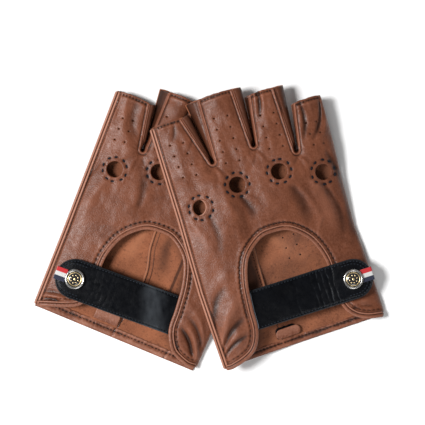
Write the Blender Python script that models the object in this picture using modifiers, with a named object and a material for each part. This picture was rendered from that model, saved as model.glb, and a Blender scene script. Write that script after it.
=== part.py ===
"""A pair of fingerless leather driving gloves, lying flat with the backs of the hands up.

Each glove is drawn flat on its own pattern, in millimetres, the way a glove cutter draws it:
u runs across the hand, from the thumb side (-u) to the little finger's side (+u),
v runs from the cuff's hem towards the fingertips, and w is the height above the table.
Glove.place() mirrors the left glove, turns and moves each pattern to where that glove lies,
raises the right glove where it lies over the left one, and gives world metres.
"""

import math

import bmesh
import bpy
import numpy as np
from mathutils import Vector
from mathutils.geometry import delaunay_2d_cdt

MM = 0.001

# Materials' thicknesses, in millimetres.
LEATHER = 1.0
STRAP_LEATHER = 1.2
FOURCHETTE_LEATHER = 0.8
THUMB_LEATHER = 0.7
HEM_LEATHER = 1.4
TAB_LEATHER = 0.9
TAB_BACKING = 0.8
GAP = 0.35  # clearance between two pieces that are sewn or lie together

# The hand, in pattern millimetres.
FINGERS = ("index", "middle", "ring", "little")
KNUCKLES = ((-36.3, 102.0), (-9.7, 108.7), (18.5, 108.3), (45.5, 99.0))
KNUCKLE_HOLE_RADIUS = 5.2
# Each slit between two fingers: where its left end, its bottom and its right end lie.
BACK_SLITS = ((-30.5, (-20.0, 126.0), -16.5), (6.5, (8.5, 128.0), 15.5), (32.0, (33.5, 116.0), 41.0))
PALM_SLITS = ((-27.0, (-20.6, 127.5), -24.2), (10.6, (9.0, 130.0), 13.4), (37.8, (34.4, 118.0), 40.6))
BACK_SLIT_RADIUS = 1.6
PALM_SLIT_RADIUS = 0.7
# The cut edge round the opening on the back of the hand, from the thumb side's hem to the other.
OPENING_EDGE = (
    (-50.0, -1.6), (-41.0, 0.6), (-33.0, 5.0), (-28.6, 14.0), (-27.6, 30.0), (-26.6, 46.0),
    (-20.5, 63.0), (-8.5, 73.0), (2.0, 74.6), (13.0, 72.2), (24.0, 62.0), (29.6, 48.0),
    (31.0, 32.0), (31.8, 15.0), (36.5, 6.6), (44.0, 2.2), (51.5, 0.4),
)
THUMB_HOLE = (-37.0, 62.0, 8.0, 15.0)  # centre u, v and the two half axes
PALM_SEAM_END = ((-20.6, 118.0), (-20.6, 127.0))  # where the palm's two panels meet at the first fork

# Heights, in millimetres.
HAND_SPACE = 7.6  # most free height between palm and back
PADDING = 0.55  # least free height between them, at the silhouette
# Between two fingers the back sinks by this share of the free height, over this width.
VALLEY_SHARE = 0.28
VALLEY_WIDTH = 4.5
FINGERTIP_V = 165.0
TOP_SEAM_CURL = 2.2  # how far the palm curls up to a side seam that shows on top
UNDER_SEAM_CURL = 0.4
THUMB_HEIGHT = 3.0
THUMB_RISE = THUMB_HEIGHT + 0.4  # how far the thumb tucked underneath raises the glove
# How far the left glove raises the right one where it lies over its palm and over its fingers.
STACK_RISE = 12.9
FINGER_STACK_RISE = 9.7
STACK_SLOPE = 58.0  # width over which that rise runs out
PRESSED_SHARE = 0.8  # hand space left in the left glove under the right one

# Trim.
BINDING_RADIUS = 1.1
TOP_PIPING_RADIUS = 1.25
TOP_PIPING_HEIGHT = 4.9
UNDER_PIPING_RADIUS = 0.75
UNDER_PIPING_HEIGHT = 0.9
HEM_TOP = 4.2
TAB_WIDTH = 16.0
TAB_BOTTOM = 5.4
TAB_TOP = 11.2
BACKING_TOP = 12.6

# The strap and its snap fastener.
STRAP_WIDTH = 26.0
STRAP_LENGTH = 78.4
SNAP_FROM_TIP = 13.0
# Height of the strap's underside above the table, before any rise of the whole glove.
STRAP_PROFILE = (
    (-40.0, 7.4), (-24.0, 7.6), (-10.0, 9.0), (5.0, 10.2), (25.0, 10.9), (41.5, 11.2), (60.0, 11.0),
)
STRAP_ROOT_LENGTH = 8.0  # the part of the strap that is sewn in under the back
CAP_RADIUS = 6.35
BADGE_RADIUS = 4.7
SNAP_HOLE_RADIUS = 1.7
SNAP_SHANK_RADIUS = 1.3
SNAP_SEAT_RADIUS = 6.5  # flat leather round the snap
SEAT_TOP = 8.7  # top of the leather that the stud stands on
SNAP_CLEARANCE = 0.3  # between the snap's halves and the leather they are set in
RIBBON_WIDTH = 8.6
RIBBON_THICKNESS = 0.5
RIBBON_UNDERLAP = 4.5  # how far the ribbon comes back under the tip

# The tucked thumb.
THUMB_PIVOT = (-38.0, 48.0)
THUMB_WIDTH = 31.0
THUMB_START = 39.0
THUMB_END = 108.0
THUMB_U = -37.0

SHEET_STEP = 8.0  # spacing of the points inside a leather panel
EDGE_STEP = 5.0  # spacing of the points along its cut edge


def smoothstep(x, low, high):
    """0 below low, 1 above high and a smooth rise between them; low may be the larger."""
    t = min(1.0, max(0.0, (x - low) / (high - low)))
    return t * t * (3 - 2 * t)


def spline(points, step):
    """Points about step apart on a smooth curve through points."""
    knots = [Vector(p) for p in points]
    ends = [2 * knots[0] - knots[1], *knots, 2 * knots[-1] - knots[-2]]
    out = []
    for a, b, c, d in zip(ends, ends[1:], ends[2:], ends[3:]):
        count = max(1, round((c - b).length / step))
        for i in range(count):
            t = i / count
            out.append(
                0.5 * (2 * b + (c - a) * t + (2 * a - 5 * b + 4 * c - d) * t**2
                       + (3 * b - a - 3 * c + d) * t**3)
            )
    out.append(knots[-1])
    return [tuple(p) for p in out]


def line(a, b, step):
    """Points about step apart from a to b, without b."""
    a, b = Vector(a), Vector(b)
    count = max(1, round((b - a).length / step))
    return [tuple(a.lerp(b, i / count)) for i in range(count)]


def arc(centre, radius, start, end, count):
    """count + 1 points on an arc, with angles in degrees."""
    turns = [math.radians(start + (end - start) * i / count) for i in range(count + 1)]
    return [(centre[0] + radius * math.cos(a), centre[1] + radius * math.sin(a)) for a in turns]


def circle(centre, radius, count=16):
    return arc(centre, radius, 0, 360, count)[:-1]


def offset_path(points, distance):
    """The open path moved to its left by distance."""
    out = []
    for i, p in enumerate(points):
        before, after = points[max(i - 1, 0)], points[min(i + 1, len(points) - 1)]
        along = (Vector(after) - Vector(before)).normalized()
        out.append((p[0] - along.y * distance, p[1] + along.x * distance))
    return out


def inside(point, loop):
    """Whether a point is inside a closed polygon."""
    x, y = point
    crossed = False
    for (x0, y0), (x1, y1) in zip(loop, [*loop[1:], loop[0]]):
        if (y0 > y) != (y1 > y) and x < x0 + (y - y0) * (x1 - x0) / (y1 - y0):
            crossed = not crossed
    return crossed


class Glove:
    """One glove: where it lies and how its leather is shaped. Sizes are in millimetres."""

    def __init__(self, side, origin, yaw_degrees, finger_ends, thumb_edge, little_edge,
                 top_seam_on_thumb_side, strap_start, strap_turn, tab_u, hem_bottom, palm_seam):
        self.side = side
        self.hand = 1 if side == "right" else -1
        self.origin = origin
        self.yaw = math.radians(yaw_degrees)
        self.finger_ends = finger_ends
        self.thumb_edge = thumb_edge  # silhouette on the thumb side, as (v, u) pairs
        self.little_edge = little_edge
        self.top_seam_on_thumb_side = top_seam_on_thumb_side
        self.strap_start = strap_start
        self.strap_turn = math.radians(strap_turn)
        self.tab_u = tab_u
        self.hem_bottom = hem_bottom
        self.palm_seam = palm_seam  # from the hem to the first fork
        reach = STRAP_LENGTH - SNAP_FROM_TIP
        self.snap = (
            strap_start[0] + reach * math.cos(self.strap_turn),
            strap_start[1] + reach * math.sin(self.strap_turn),
        )

    def name(self, part):
        return f"{self.side}_{part}"

    # Where things are.

    def flat(self, u, v):
        """The world x and y, in millimetres, of a point of the pattern."""
        u *= self.hand
        c, s = math.cos(self.yaw), math.sin(self.yaw)
        return self.origin[0] + u * c - v * s, self.origin[1] + u * s + v * c

    def place(self, u, v, w):
        """The world point, in metres, of a point of the pattern at height w."""
        x, y = self.flat(u, v)
        return Vector((x, y, w + self.stack_rise(x, y))) * MM

    def direction(self, u, v):
        """The world direction of a direction of the pattern."""
        x0, y0 = self.flat(0, 0)
        x, y = self.flat(u, v)
        return Vector((x - x0, y - y0, 0)).normalized()

    def stack_rise(self, x, y):
        """How far the left glove underneath raises this one."""
        if self.side == "left":
            return 0.0
        rise = STACK_RISE + (FINGER_STACK_RISE - STACK_RISE) * smoothstep(y, 25, 75)
        return rise * (1 - smoothstep(distance_past(LEFT_THUMB_SIDE, x, y), 0, STACK_SLOPE))

    def pressed(self, x, y):
        """Share of the hand space that is left under the other glove."""
        if self.side == "right":
            return 1.0
        covered = distance_past(RIGHT_THUMB_SIDE, x, y)
        return PRESSED_SHARE + (1 - PRESSED_SHARE) * smoothstep(covered, 0, -70)

    # How the leather is shaped.

    def edges(self, v):
        """The silhouette's u on the thumb side and on the little finger's side."""
        low = np.interp(v, *zip(*self.thumb_edge))
        high = np.interp(v, *zip(*self.little_edge))
        return float(low), float(high)

    def across(self, u, v):
        """-1 on the thumb side's silhouette, 0 on the middle line and 1 on the other side."""
        low, high = self.edges(v)
        return (2 * u - low - high) / (high - low)

    def thumb_rise(self, u, v):
        """How far the thumb tucked underneath raises the leather."""
        return THUMB_RISE * smoothstep(u, -9, -20) * smoothstep(v, 10, 34) * smoothstep(v, 128, 112)

    def palm_height(self, u, v):
        """Underside of the palm's leather."""
        t = self.across(u, v)
        curl = max(0.0, (abs(t) - 0.86) / 0.14)
        seam_on_top = (t < 0) == self.top_seam_on_thumb_side
        return (TOP_SEAM_CURL if seam_on_top else UNDER_SEAM_CURL) * curl**2 + self.thumb_rise(u, v)

    def back_height(self, u, v):
        """Underside of the back's leather."""
        t = min(1.0, abs(self.across(u, v)))
        space = HAND_SPACE * math.sqrt(1 - t**5) * self.pressed(*self.flat(u, v))
        for left, fork, right in BACK_SLITS:
            share = (v - fork[1]) / (FINGERTIP_V - fork[1])
            centre = fork[0] + ((left + right) / 2 - fork[0]) * share
            half = (right - left) / 2 * max(0.0, share)
            near = max(0.0, abs(u - centre) - half) / VALLEY_WIDTH
            space -= VALLEY_SHARE * space * math.exp(-near**2) * smoothstep(v, fork[1] - 14, fork[1] + 4)
        height = LEATHER + PADDING + space + self.thumb_rise(u, v)
        seat = smoothstep(math.dist((u, v), self.snap), 2 * SNAP_SEAT_RADIUS, SNAP_SEAT_RADIUS + 0.5)
        height += seat * (SEAT_TOP - LEATHER - height)
        along, aside = u - self.strap_start[0], abs(v - self.strap_start[1])
        over_root = smoothstep(along, -26, -10) * smoothstep(along, 20, 4) * smoothstep(aside, 28, 14)
        return height + over_root * max(0.0, self.root_clearance() - height)

    def strap_point(self, along, aside):
        """The pattern's u and v, from a distance along the strap and one to its left."""
        c, s = math.cos(self.strap_turn), math.sin(self.strap_turn)
        return (self.strap_start[0] + along * c - aside * s,
                self.strap_start[1] + along * s + aside * c)

    def root_clearance(self):
        """Underside of the back's leather over the strap's root, clear of the binding as well."""
        root_top = self.strap_height(self.strap_start[0]) + 2 * LEATHER
        return root_top + BINDING_RADIUS - LEATHER / 2 + GAP + 0.1

    def strap_axis(self):
        """The strap bends round the upper side of the bound edge over its root."""
        edge = self.strap_point(-BINDING_RADIUS - GAP, 0.0)
        return self.place(*edge, self.back_height(*edge) + LEATHER)

    def strap_height(self, u):
        """Underside of the strap's lining."""
        return float(np.interp(u, *zip(*spline(STRAP_PROFILE, 2.0))))


def distance_past(side_line, x, y):
    """How far a world point, in millimetres, lies to the right of a line on the table."""
    (x0, y0), (x1, y1) = side_line
    length = math.dist(*side_line)
    return ((x - x0) * (y1 - y0) - (y - y0) * (x1 - x0)) / length


RIGHT = Glove(
    side="right",
    origin=(61.3, -71.4),
    yaw_degrees=18.5,
    finger_ends=(160.5, 168.0, 160.5, 146.5),
    thumb_edge=((-2, -55.5), (50, -55.8), (100, -53.5), (162, -52.0)),
    little_edge=((-2, 55.0), (30, 55.0), (60, 54.3), (90, 56.0), (115, 58.2), (148, 60.0)),
    top_seam_on_thumb_side=True,
    strap_start=(-23.4, 28.7),
    strap_turn=-1.1,
    tab_u=-8.0,
    hem_bottom=-1.2,
    palm_seam=((-13.4, HEM_TOP + GAP), (-13.6, 40.0), (-12.6, 66.0), (-11.0, 86.0), *PALM_SEAM_END),
)
LEFT = Glove(
    side="left",
    origin=(-57.2, -70.1),
    yaw_degrees=-22.5,
    finger_ends=(160.0, 162.0, 158.5, 146.8),
    thumb_edge=((-2, -52.5), (50, -53.5), (100, -52.5), (162, -52.0)),
    little_edge=((-2, 61.0), (50, 61.8), (100, 63.2), (148, 64.6)),
    top_seam_on_thumb_side=False,
    strap_start=(-23.4, 26.4),
    strap_turn=-2.3,
    tab_u=14.0,
    hem_bottom=-2.6,
    palm_seam=((5.0, HEM_TOP + GAP), (2.0, 22.0), (1.0, 44.0), (5.4, 64.0), (3.0, 86.0), *PALM_SEAM_END),
)
# The sides that cross where one glove lies over the other, as lines from the cuff to the fingers.
LEFT_THUMB_SIDE = (LEFT.flat(-53.0, 0.0), LEFT.flat(-53.0, 160.0))
RIGHT_THUMB_SIDE = (RIGHT.flat(-55.5, 0.0), RIGHT.flat(-52.5, 160.0))


# Blender helpers.


def clear_scene():
    for obj in list(bpy.data.objects):
        bpy.data.objects.remove(obj, do_unlink=True)


def material(name, colour, roughness, metallic=0.0):
    made = bpy.data.materials.get(name) or bpy.data.materials.new(name)
    made.use_nodes = True
    shader = made.node_tree.nodes["Principled BSDF"]
    shader.inputs["Base Color"].default_value = (*colour, 1.0)
    shader.inputs["Roughness"].default_value = roughness
    shader.inputs["Metallic"].default_value = metallic
    return made


def make_materials():
    return {
        "leather": material("brown_leather", (0.235, 0.098, 0.060), 0.42),
        "inside": material("suede_side", (0.290, 0.115, 0.052), 0.85),
        "strap": material("black_leather", (0.012, 0.013, 0.016), 0.38),
        "ribbon": material("striped_ribbon", (0.62, 0.60, 0.58), 0.75),
        "steel": material("nickel_plate", (0.62, 0.61, 0.58), 0.25, 1.0),
        "badge": material("brass_and_enamel", (0.62, 0.47, 0.24), 0.30, 1.0),
    }


def add_object(name, data, finish, parent=None):
    obj = bpy.data.objects.new(name, data)
    GLOVES.objects.link(obj)
    data.materials.append(finish)
    if parent is not None:
        obj.parent = parent
        obj.location = -parent.location
    return obj


def pivot(name, position):
    """An empty on a joint's axis, to carry the pieces that move about it."""
    empty = bpy.data.objects.new(name, None)
    empty.location = position
    GLOVES.objects.link(empty)
    return empty


def fill_outline(loops, step, more_points=()):
    """Points and triangles that fill an outline with holes evenly. The first loop is the outside."""
    points = [p for loop in loops for p in loop]
    edges, first = [], 0
    for loop in loops:
        edges += [(first + i, first + (i + 1) % len(loop)) for i in range(len(loop))]
        first += len(loop)
    points += more_points
    us, vs = zip(*loops[0])
    rim = np.array(points)
    for j in range(int((max(vs) - min(vs)) / (step * 0.87)) + 1):
        for i in range(int((max(us) - min(us)) / step) + 2):
            p = (min(us) + (i + 0.5 * (j % 2)) * step, min(vs) + j * step * 0.87)
            if np.min(np.hypot(*(rim - p).T)) > 0.5 * step and in_outline(p, loops):
                points.append(p)
    enclosed_by_edges = 1
    found = delaunay_2d_cdt([Vector(p) for p in points], edges, [], enclosed_by_edges, 1e-4)
    verts, triangles = found[0], found[2]
    kept = [t for t in triangles if not any(inside(middle_of(verts, t), hole) for hole in loops[1:])]
    return verts, kept


def middle_of(points, indices):
    return tuple(sum((points[k] for k in indices), Vector((0, 0))) / len(indices))


def in_outline(point, loops):
    return inside(point, loops[0]) and not any(inside(point, hole) for hole in loops[1:])


def surface_mesh(name, points, faces):
    """An open mesh whose faces look up."""
    mesh = bpy.data.meshes.new(name)
    shape = bmesh.new()
    verts = [shape.verts.new(p) for p in points]
    for face in faces:
        shape.faces.new([verts[k] for k in face])
    bmesh.ops.delete(shape, geom=[v for v in shape.verts if not v.link_faces], context="VERTS")
    bmesh.ops.recalc_face_normals(shape, faces=shape.faces)
    if sum(f.normal.z * f.calc_area() for f in shape.faces) < 0:
        bmesh.ops.reverse_faces(shape, faces=shape.faces)
    shape.to_mesh(mesh)
    shape.free()
    mesh.shade_smooth()
    return mesh


def solidify(obj, thickness, offset):
    """Gives an open surface its thickness: offset 1 adds it above, 0 on both sides."""
    modifier = obj.modifiers.new("thickness", "SOLIDIFY")
    modifier.thickness = thickness * MM
    modifier.offset = offset
    modifier.use_even_offset = True
    modifier.thickness_clamp = 1.0


def leather_panel(glove, part, loops, height, thickness, finish,
                  parent=None, step=SHEET_STEP, more_points=()):
    """A cut piece of leather: its flat outline, laid on height(u, v), the underside."""
    points, faces = fill_outline(loops, step, more_points)
    placed = [glove.place(u, v, height(u, v)) for u, v in points]
    name = glove.name(part)
    obj = add_object(name, surface_mesh(name, placed, faces), finish, parent)
    solidify(obj, thickness, 1.0)
    return obj


def tube(glove, part, path, radius, finish, sides=2):
    """A round cord or rolled edge along a path of (u, v, w) points."""
    name = glove.name(part)
    data = bpy.data.curves.new(name, "CURVE")
    data.dimensions = "3D"
    data.bevel_depth = radius * MM
    data.bevel_resolution = sides
    data.use_fill_caps = True
    route = data.splines.new("POLY")
    route.points.add(len(path) - 1)
    for point, (u, v, w) in zip(route.points, path):
        point.co = (*glove.place(u, v, w), 1.0)
    return add_object(name, data, finish)


def turned(glove, part, profile, centre, finish, parent=None, steps=24):
    """A round piece: its (radius, height) profile, outer side top to bottom, turned about a centre."""
    name = glove.name(part)
    base = glove.place(*centre, 0.0)
    shape = bmesh.new()
    verts = [shape.verts.new((r * MM, 0, w * MM)) for r, w in profile]
    for a, b in zip(verts, verts[1:]):
        shape.edges.new((a, b))
    if profile[0] == profile[-1]:
        bmesh.ops.remove_doubles(shape, verts=shape.verts, dist=1e-7)
    mesh = bpy.data.meshes.new(name)
    shape.to_mesh(mesh)
    shape.free()
    obj = add_object(name, mesh, finish, parent)
    obj.location = base if parent is None else base - parent.location
    screw = obj.modifiers.new("turned", "SCREW")
    screw.steps = screw.render_steps = steps
    screw.use_merge_vertices = True
    screw.merge_threshold = 1e-5
    return obj


# Outlines on the pattern.


def slit_outline(slit, end_left, end_right, radius, grow=0.0):
    """The edge of the slit between two fingers, from the left finger's end round to the right one's."""
    left, fork, right = slit
    r = radius + grow
    middle = (fork[0], fork[1] + radius)
    bottom = arc(middle, r, 180, 360, 4)
    left_end = (left - grow, end_left)
    right_end = (right + grow, end_right)
    down, up = line(left_end, bottom[0], EDGE_STEP), line(bottom[-1], right_end, EDGE_STEP)
    return [*down, *bottom[:-1], *up, right_end]


def side_path(glove, side, inset, start, end, step=EDGE_STEP * 2):
    """Points up one side of the glove, a distance inside its silhouette."""
    count = max(1, round(abs(end - start) / step))
    path = []
    for i in range(count + 1):
        v = start + (end - start) * i / count
        low, high = glove.edges(v)
        path.append((low + inset, v) if side == "thumb" else (high - inset, v))
    return path


def fingers_outline(glove, slits, radius, thumb_inset, little_inset, start):
    """From the hem on the thumb side up, round the four fingers and down the other side."""
    ends = glove.finger_ends
    path = side_path(glove, "thumb", thumb_inset, start, ends[0])
    for k, slit in enumerate(slits):
        path += line(path[-1], (slit[0], ends[k]), EDGE_STEP)[1:]
        path += slit_outline(slit, ends[k], ends[k + 1], radius)
    far = side_path(glove, "little", little_inset, ends[3], start)
    return path + line(path[-1], far[0], EDGE_STEP)[1:] + far


def seam_insets(glove, on_top, underneath):
    """The insets for the thumb side and the other: one side's seam shows on top, one's is under."""
    return (on_top, underneath) if glove.top_seam_on_thumb_side else (underneath, on_top)


# The pieces of one glove.


def back_panel(glove, finish):
    thumb_inset, little_inset = seam_insets(glove, on_top=3.6, underneath=0.9)
    outline = fingers_outline(glove, BACK_SLITS, BACK_SLIT_RADIUS, thumb_inset, little_inset, 0.6)
    opening = spline(OPENING_EDGE, EDGE_STEP)
    holes = [circle(c, KNUCKLE_HOLE_RADIUS, 12) for c in KNUCKLES]
    holes.append(circle(glove.snap, SNAP_HOLE_RADIUS, 8))
    leather_panel(
        glove, "back_panel", [outline + opening[::-1], *holes], glove.back_height, LEATHER, finish,
        more_points=circle(glove.snap, SNAP_SEAT_RADIUS, 12),
    )


def palm_panels(glove, finish):
    """The palm is sewn from two panels: the main one, and one that carries the thumb."""
    insets = seam_insets(glove, on_top=0.9, underneath=2.6)
    outline = fingers_outline(glove, PALM_SLITS, PALM_SLIT_RADIUS, *insets, HEM_TOP + GAP)
    seam = spline(glove.palm_seam, EDGE_STEP)
    first_fork = min(range(len(outline)), key=lambda k: math.dist(outline[k], PALM_SLITS[0][1]))
    centre_u, centre_v, half_u, half_v = THUMB_HOLE
    hole = [(centre_u + x * half_u, centre_v + y * half_v) for x, y in circle((0, 0), 1.0, 14)]
    thumb_seam = offset_path(seam, GAP / 2 + 0.05)
    main_seam = offset_path(seam, -GAP / 2 - 0.05)
    thumb_side = outline[:first_fork] + thumb_seam[::-1] + line(thumb_seam[0], outline[0], EDGE_STEP)[1:]
    main_side = outline[first_fork + 1:] + line(outline[-1], main_seam[0], EDGE_STEP)[1:] + main_seam
    leather_panel(glove, "thumb_side_palm", [thumb_side, hole], glove.palm_height, LEATHER, finish)
    leather_panel(glove, "palm_panel", [main_side], glove.palm_height, LEATHER, finish)


def fourchettes(glove, finish):
    """The folded strips that join the sides of neighbouring fingers, one in each slit."""
    for k, (top, bottom) in enumerate(zip(BACK_SLITS, PALM_SLITS)):
        ends = glove.finger_ends[k] - 0.6, glove.finger_ends[k + 1] - 0.6
        upper = slit_outline(top, *ends, BACK_SLIT_RADIUS, grow=0.9)
        lower = slit_outline(bottom, *ends, PALM_SLIT_RADIUS, grow=0.9)
        count = 17
        rows = []
        for s in range(count):
            up, low = point_along(upper, s / (count - 1)), point_along(lower, s / (count - 1))
            rows.append((
                glove.place(*up, glove.back_height(*up) - GAP - 0.25),
                glove.place(*low, glove.palm_height(*low) + LEATHER + GAP + 0.1),
            ))
        points = [p for row in rows for p in row]
        faces = [(2 * i, 2 * i + 1, 2 * i + 3, 2 * i + 2) for i in range(count - 1)]
        name = glove.name(f"fourchette_{FINGERS[k]}_{FINGERS[k + 1]}")
        obj = add_object(name, surface_mesh(name, points, faces), finish)
        solidify(obj, FOURCHETTE_LEATHER, 0.0)


def point_along(path, share):
    """The point at a share of a path's length."""
    lengths = np.cumsum([0.0, *(math.dist(a, b) for a, b in zip(path, path[1:]))])
    at = share * lengths[-1]
    us, vs = zip(*path)
    return float(np.interp(at, lengths, us)), float(np.interp(at, lengths, vs))


def opening_binding(glove, finish):
    """The bound edge round the opening, from one corner of the hem to the other."""
    edge = spline(OPENING_EDGE, EDGE_STEP)
    path = offset_path(edge, -(BINDING_RADIUS + GAP))
    route = [(*p, glove.back_height(*q) + LEATHER / 2) for p, q in zip(path, edge)]
    tube(glove, "opening_binding", route, BINDING_RADIUS, finish)


def side_pipings(glove, finish):
    """The sewn edges down both sides. One shows on top of the glove, the other is underneath."""
    top_side, under_side = ("thumb", "little") if glove.top_seam_on_thumb_side else ("little", "thumb")
    cords = (
        (top_side, TOP_PIPING_RADIUS, TOP_PIPING_HEIGHT),
        (under_side, UNDER_PIPING_RADIUS, UNDER_PIPING_HEIGHT),
    )
    for side, radius, height in cords:
        ends = glove.finger_ends[0] if side == "thumb" else glove.finger_ends[3]
        path = side_path(glove, side, radius, 1.0, ends - 0.5, EDGE_STEP * 1.6)
        route = [(u, v, height + glove.thumb_rise(u, v)) for u, v in path]
        tube(glove, f"{side}_side_piping", route, radius, finish)


def hem_band(glove, finish):
    """The turned and sewn hem along the palm's edge at the wrist."""
    low, high = glove.edges(0)
    inset_low, inset_high = seam_insets(glove, on_top=1.2, underneath=2.8)
    left, right, bottom = low + inset_low, high - inset_high, glove.hem_bottom
    lower = line((left, bottom), (right, bottom), EDGE_STEP)
    upper = line((right, HEM_TOP), (left, HEM_TOP), EDGE_STEP)
    loop = [*lower, (right, bottom), *upper, (left, HEM_TOP)]
    leather_panel(glove, "palm_hem", [loop], glove.palm_height, HEM_LEATHER, finish)


def tab_outline(centre, bottom, top, width, corner):
    """A tab with a square foot and rounded top corners."""
    half = width / 2
    right = arc((centre + half - corner, top - corner), corner, 0, 90, 4)
    left = arc((centre - half + corner, top - corner), corner, 90, 180, 4)
    return [(centre - half, bottom), (centre + half, bottom), *right, *left]


def pull_tab(glove, leather, backing):
    """A small leather tab with a black backing, sewn in at the palm's hem."""
    seam = (glove.tab_u, TAB_BOTTOM - 0.5)
    carrier = pivot(glove.name("tab_axis"), glove.place(*seam, glove.palm_height(*seam) + LEATHER + 1.6))

    def on_palm(u, v):
        return glove.palm_height(u, v) + LEATHER + GAP

    def on_backing(u, v):
        return on_palm(u, v) + TAB_BACKING + GAP

    loop = tab_outline(glove.tab_u, TAB_BOTTOM, BACKING_TOP, TAB_WIDTH, 3.5)
    leather_panel(glove, "tab_backing", [loop], on_palm, TAB_BACKING, backing, carrier, step=4.0)
    loop = tab_outline(glove.tab_u - 0.3, TAB_BOTTOM, TAB_TOP, TAB_WIDTH, 4.0)
    leather_panel(glove, "pull_tab", [loop], on_backing, TAB_LEATHER, leather, carrier, step=4.0)


def thumb(glove, finish):
    """The thumb's sleeve, flat under the palm, open at its upper end and round at its root."""
    carrier = pivot(glove.name("thumb_axis"), glove.place(*THUMB_PIVOT, 0.0))
    half = THUMB_WIDTH / 2
    count = 16
    name = glove.name("thumb_sleeve")
    rows = []
    stations = (0.0, 0.03, 0.10, 0.22, 0.4, 0.6, 0.8, 1.0)
    for s in stations:
        v = THUMB_START + (THUMB_END - THUMB_START) * s
        width = half * math.sqrt(max(0.12, 1 - (1 - min(1.0, s / 0.22)) ** 2))
        rows.append([thumb_rim_point(glove, v, width, k / count) for k in range(count)])
    points = [p for row in rows for p in row]
    faces = [tuple(range(count))]
    for i in range(len(rows) - 1):
        for k in range(count):
            here, after = i * count + k, i * count + (k + 1) % count
            faces.append((here, after, after + count, here + count))
    mesh = bpy.data.meshes.new(name)
    mesh.from_pydata(points, [], faces)
    shape = bmesh.new()
    shape.from_mesh(mesh)
    bmesh.ops.recalc_face_normals(shape, faces=shape.faces)
    shape.to_mesh(mesh)
    shape.free()
    obj = add_object(name, mesh, finish, carrier)
    solidify(obj, THUMB_LEATHER, -1.0)


def thumb_rim_point(glove, v, half_width, share):
    """A point round the flattened sleeve: straight above and below, round at both sides."""
    angle = 2 * math.pi * share
    c, s = math.cos(angle), math.sin(angle)
    lift = THUMB_HEIGHT / 2
    across = half_width * math.copysign(abs(c) ** 0.8, c)
    up = lift * math.copysign(min(1.0, abs(s) * 1.5), s)
    return glove.place(THUMB_U + across, v, lift + up)


def strap(glove, leather, lining_finish, ribbon_finish, steel, badge_finish):
    """The closing strap. It bends round the bound edge that its root is sewn under."""
    carrier = pivot(glove.name("strap_axis"), glove.strap_axis())
    hole = circle(glove.snap, SNAP_HOLE_RADIUS, 8)

    def outline(margin):
        half = STRAP_WIDTH / 2 - margin
        centre = STRAP_LENGTH - STRAP_WIDTH / 2
        tip = arc((centre, 0), half, -90, 90, 10)
        out, back = line((0, -half), tip[0], EDGE_STEP * 1.6), line(tip[-1], (0, half), EDGE_STEP * 1.6)
        flat = [*out, *tip, *back[1:], (0, half)]
        return [glove.strap_point(*p) for p in flat]

    def under(u, v):
        return glove.strap_height(u)

    def over(u, v):
        return glove.strap_height(u) + LEATHER + GAP

    root = [glove.strap_point(*p) for p in strap_root_outline()]
    leather_panel(glove, "strap_root", [root], under, 2 * LEATHER, leather)
    leather_panel(glove, "strap_lining", [outline(0.4), hole], under, LEATHER, lining_finish, carrier)
    leather_panel(glove, "strap", [outline(0.0), hole], over, STRAP_LEATHER, leather, carrier)
    top = glove.strap_height(glove.snap[0]) + LEATHER + GAP + STRAP_LEATHER
    strap_ribbon(glove, top, ribbon_finish, carrier)
    snap_upper_half(glove, top, steel, badge_finish, carrier)


def strap_root_outline():
    near, far, half = -GAP, -GAP - STRAP_ROOT_LENGTH, STRAP_WIDTH / 2 - 0.6
    return [(far, -half), *line((near, -half), (near, half), EDGE_STEP), (near, half), (far, half), (far, 0.0)]


def strap_ribbon(glove, top, finish, carrier):
    """The striped ribbon folded round the strap's tip, from beside the cap to the underside."""
    start = STRAP_LENGTH - SNAP_FROM_TIP + CAP_RADIUS + GAP
    lift = RIBBON_THICKNESS / 2 + GAP
    bottom = glove.strap_height(glove.snap[0] + 8) - lift
    out = STRAP_LENGTH + lift
    middle, half = (top + lift + bottom) / 2, (top + lift - bottom) / 2
    over_tip = [(out - half * 0.25 + half * 0.25 * math.cos(a), middle + half * math.sin(a))
                for a in (math.radians(d) for d in range(90, -91, -30))]
    profile = [(start, top + lift + 0.15), *over_tip, (STRAP_LENGTH - RIBBON_UNDERLAP, bottom)]
    points = []
    for along, w in profile:
        for aside in (-RIBBON_WIDTH / 2, RIBBON_WIDTH / 2):
            points.append(glove.place(*glove.strap_point(along, aside), w))
    faces = [(2 * i, 2 * i + 1, 2 * i + 3, 2 * i + 2) for i in range(len(profile) - 1)]
    name = glove.name("strap_ribbon")
    obj = add_object(name, surface_mesh(name, points, faces), finish, carrier)
    solidify(obj, RIBBON_THICKNESS, 0.0)


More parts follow.
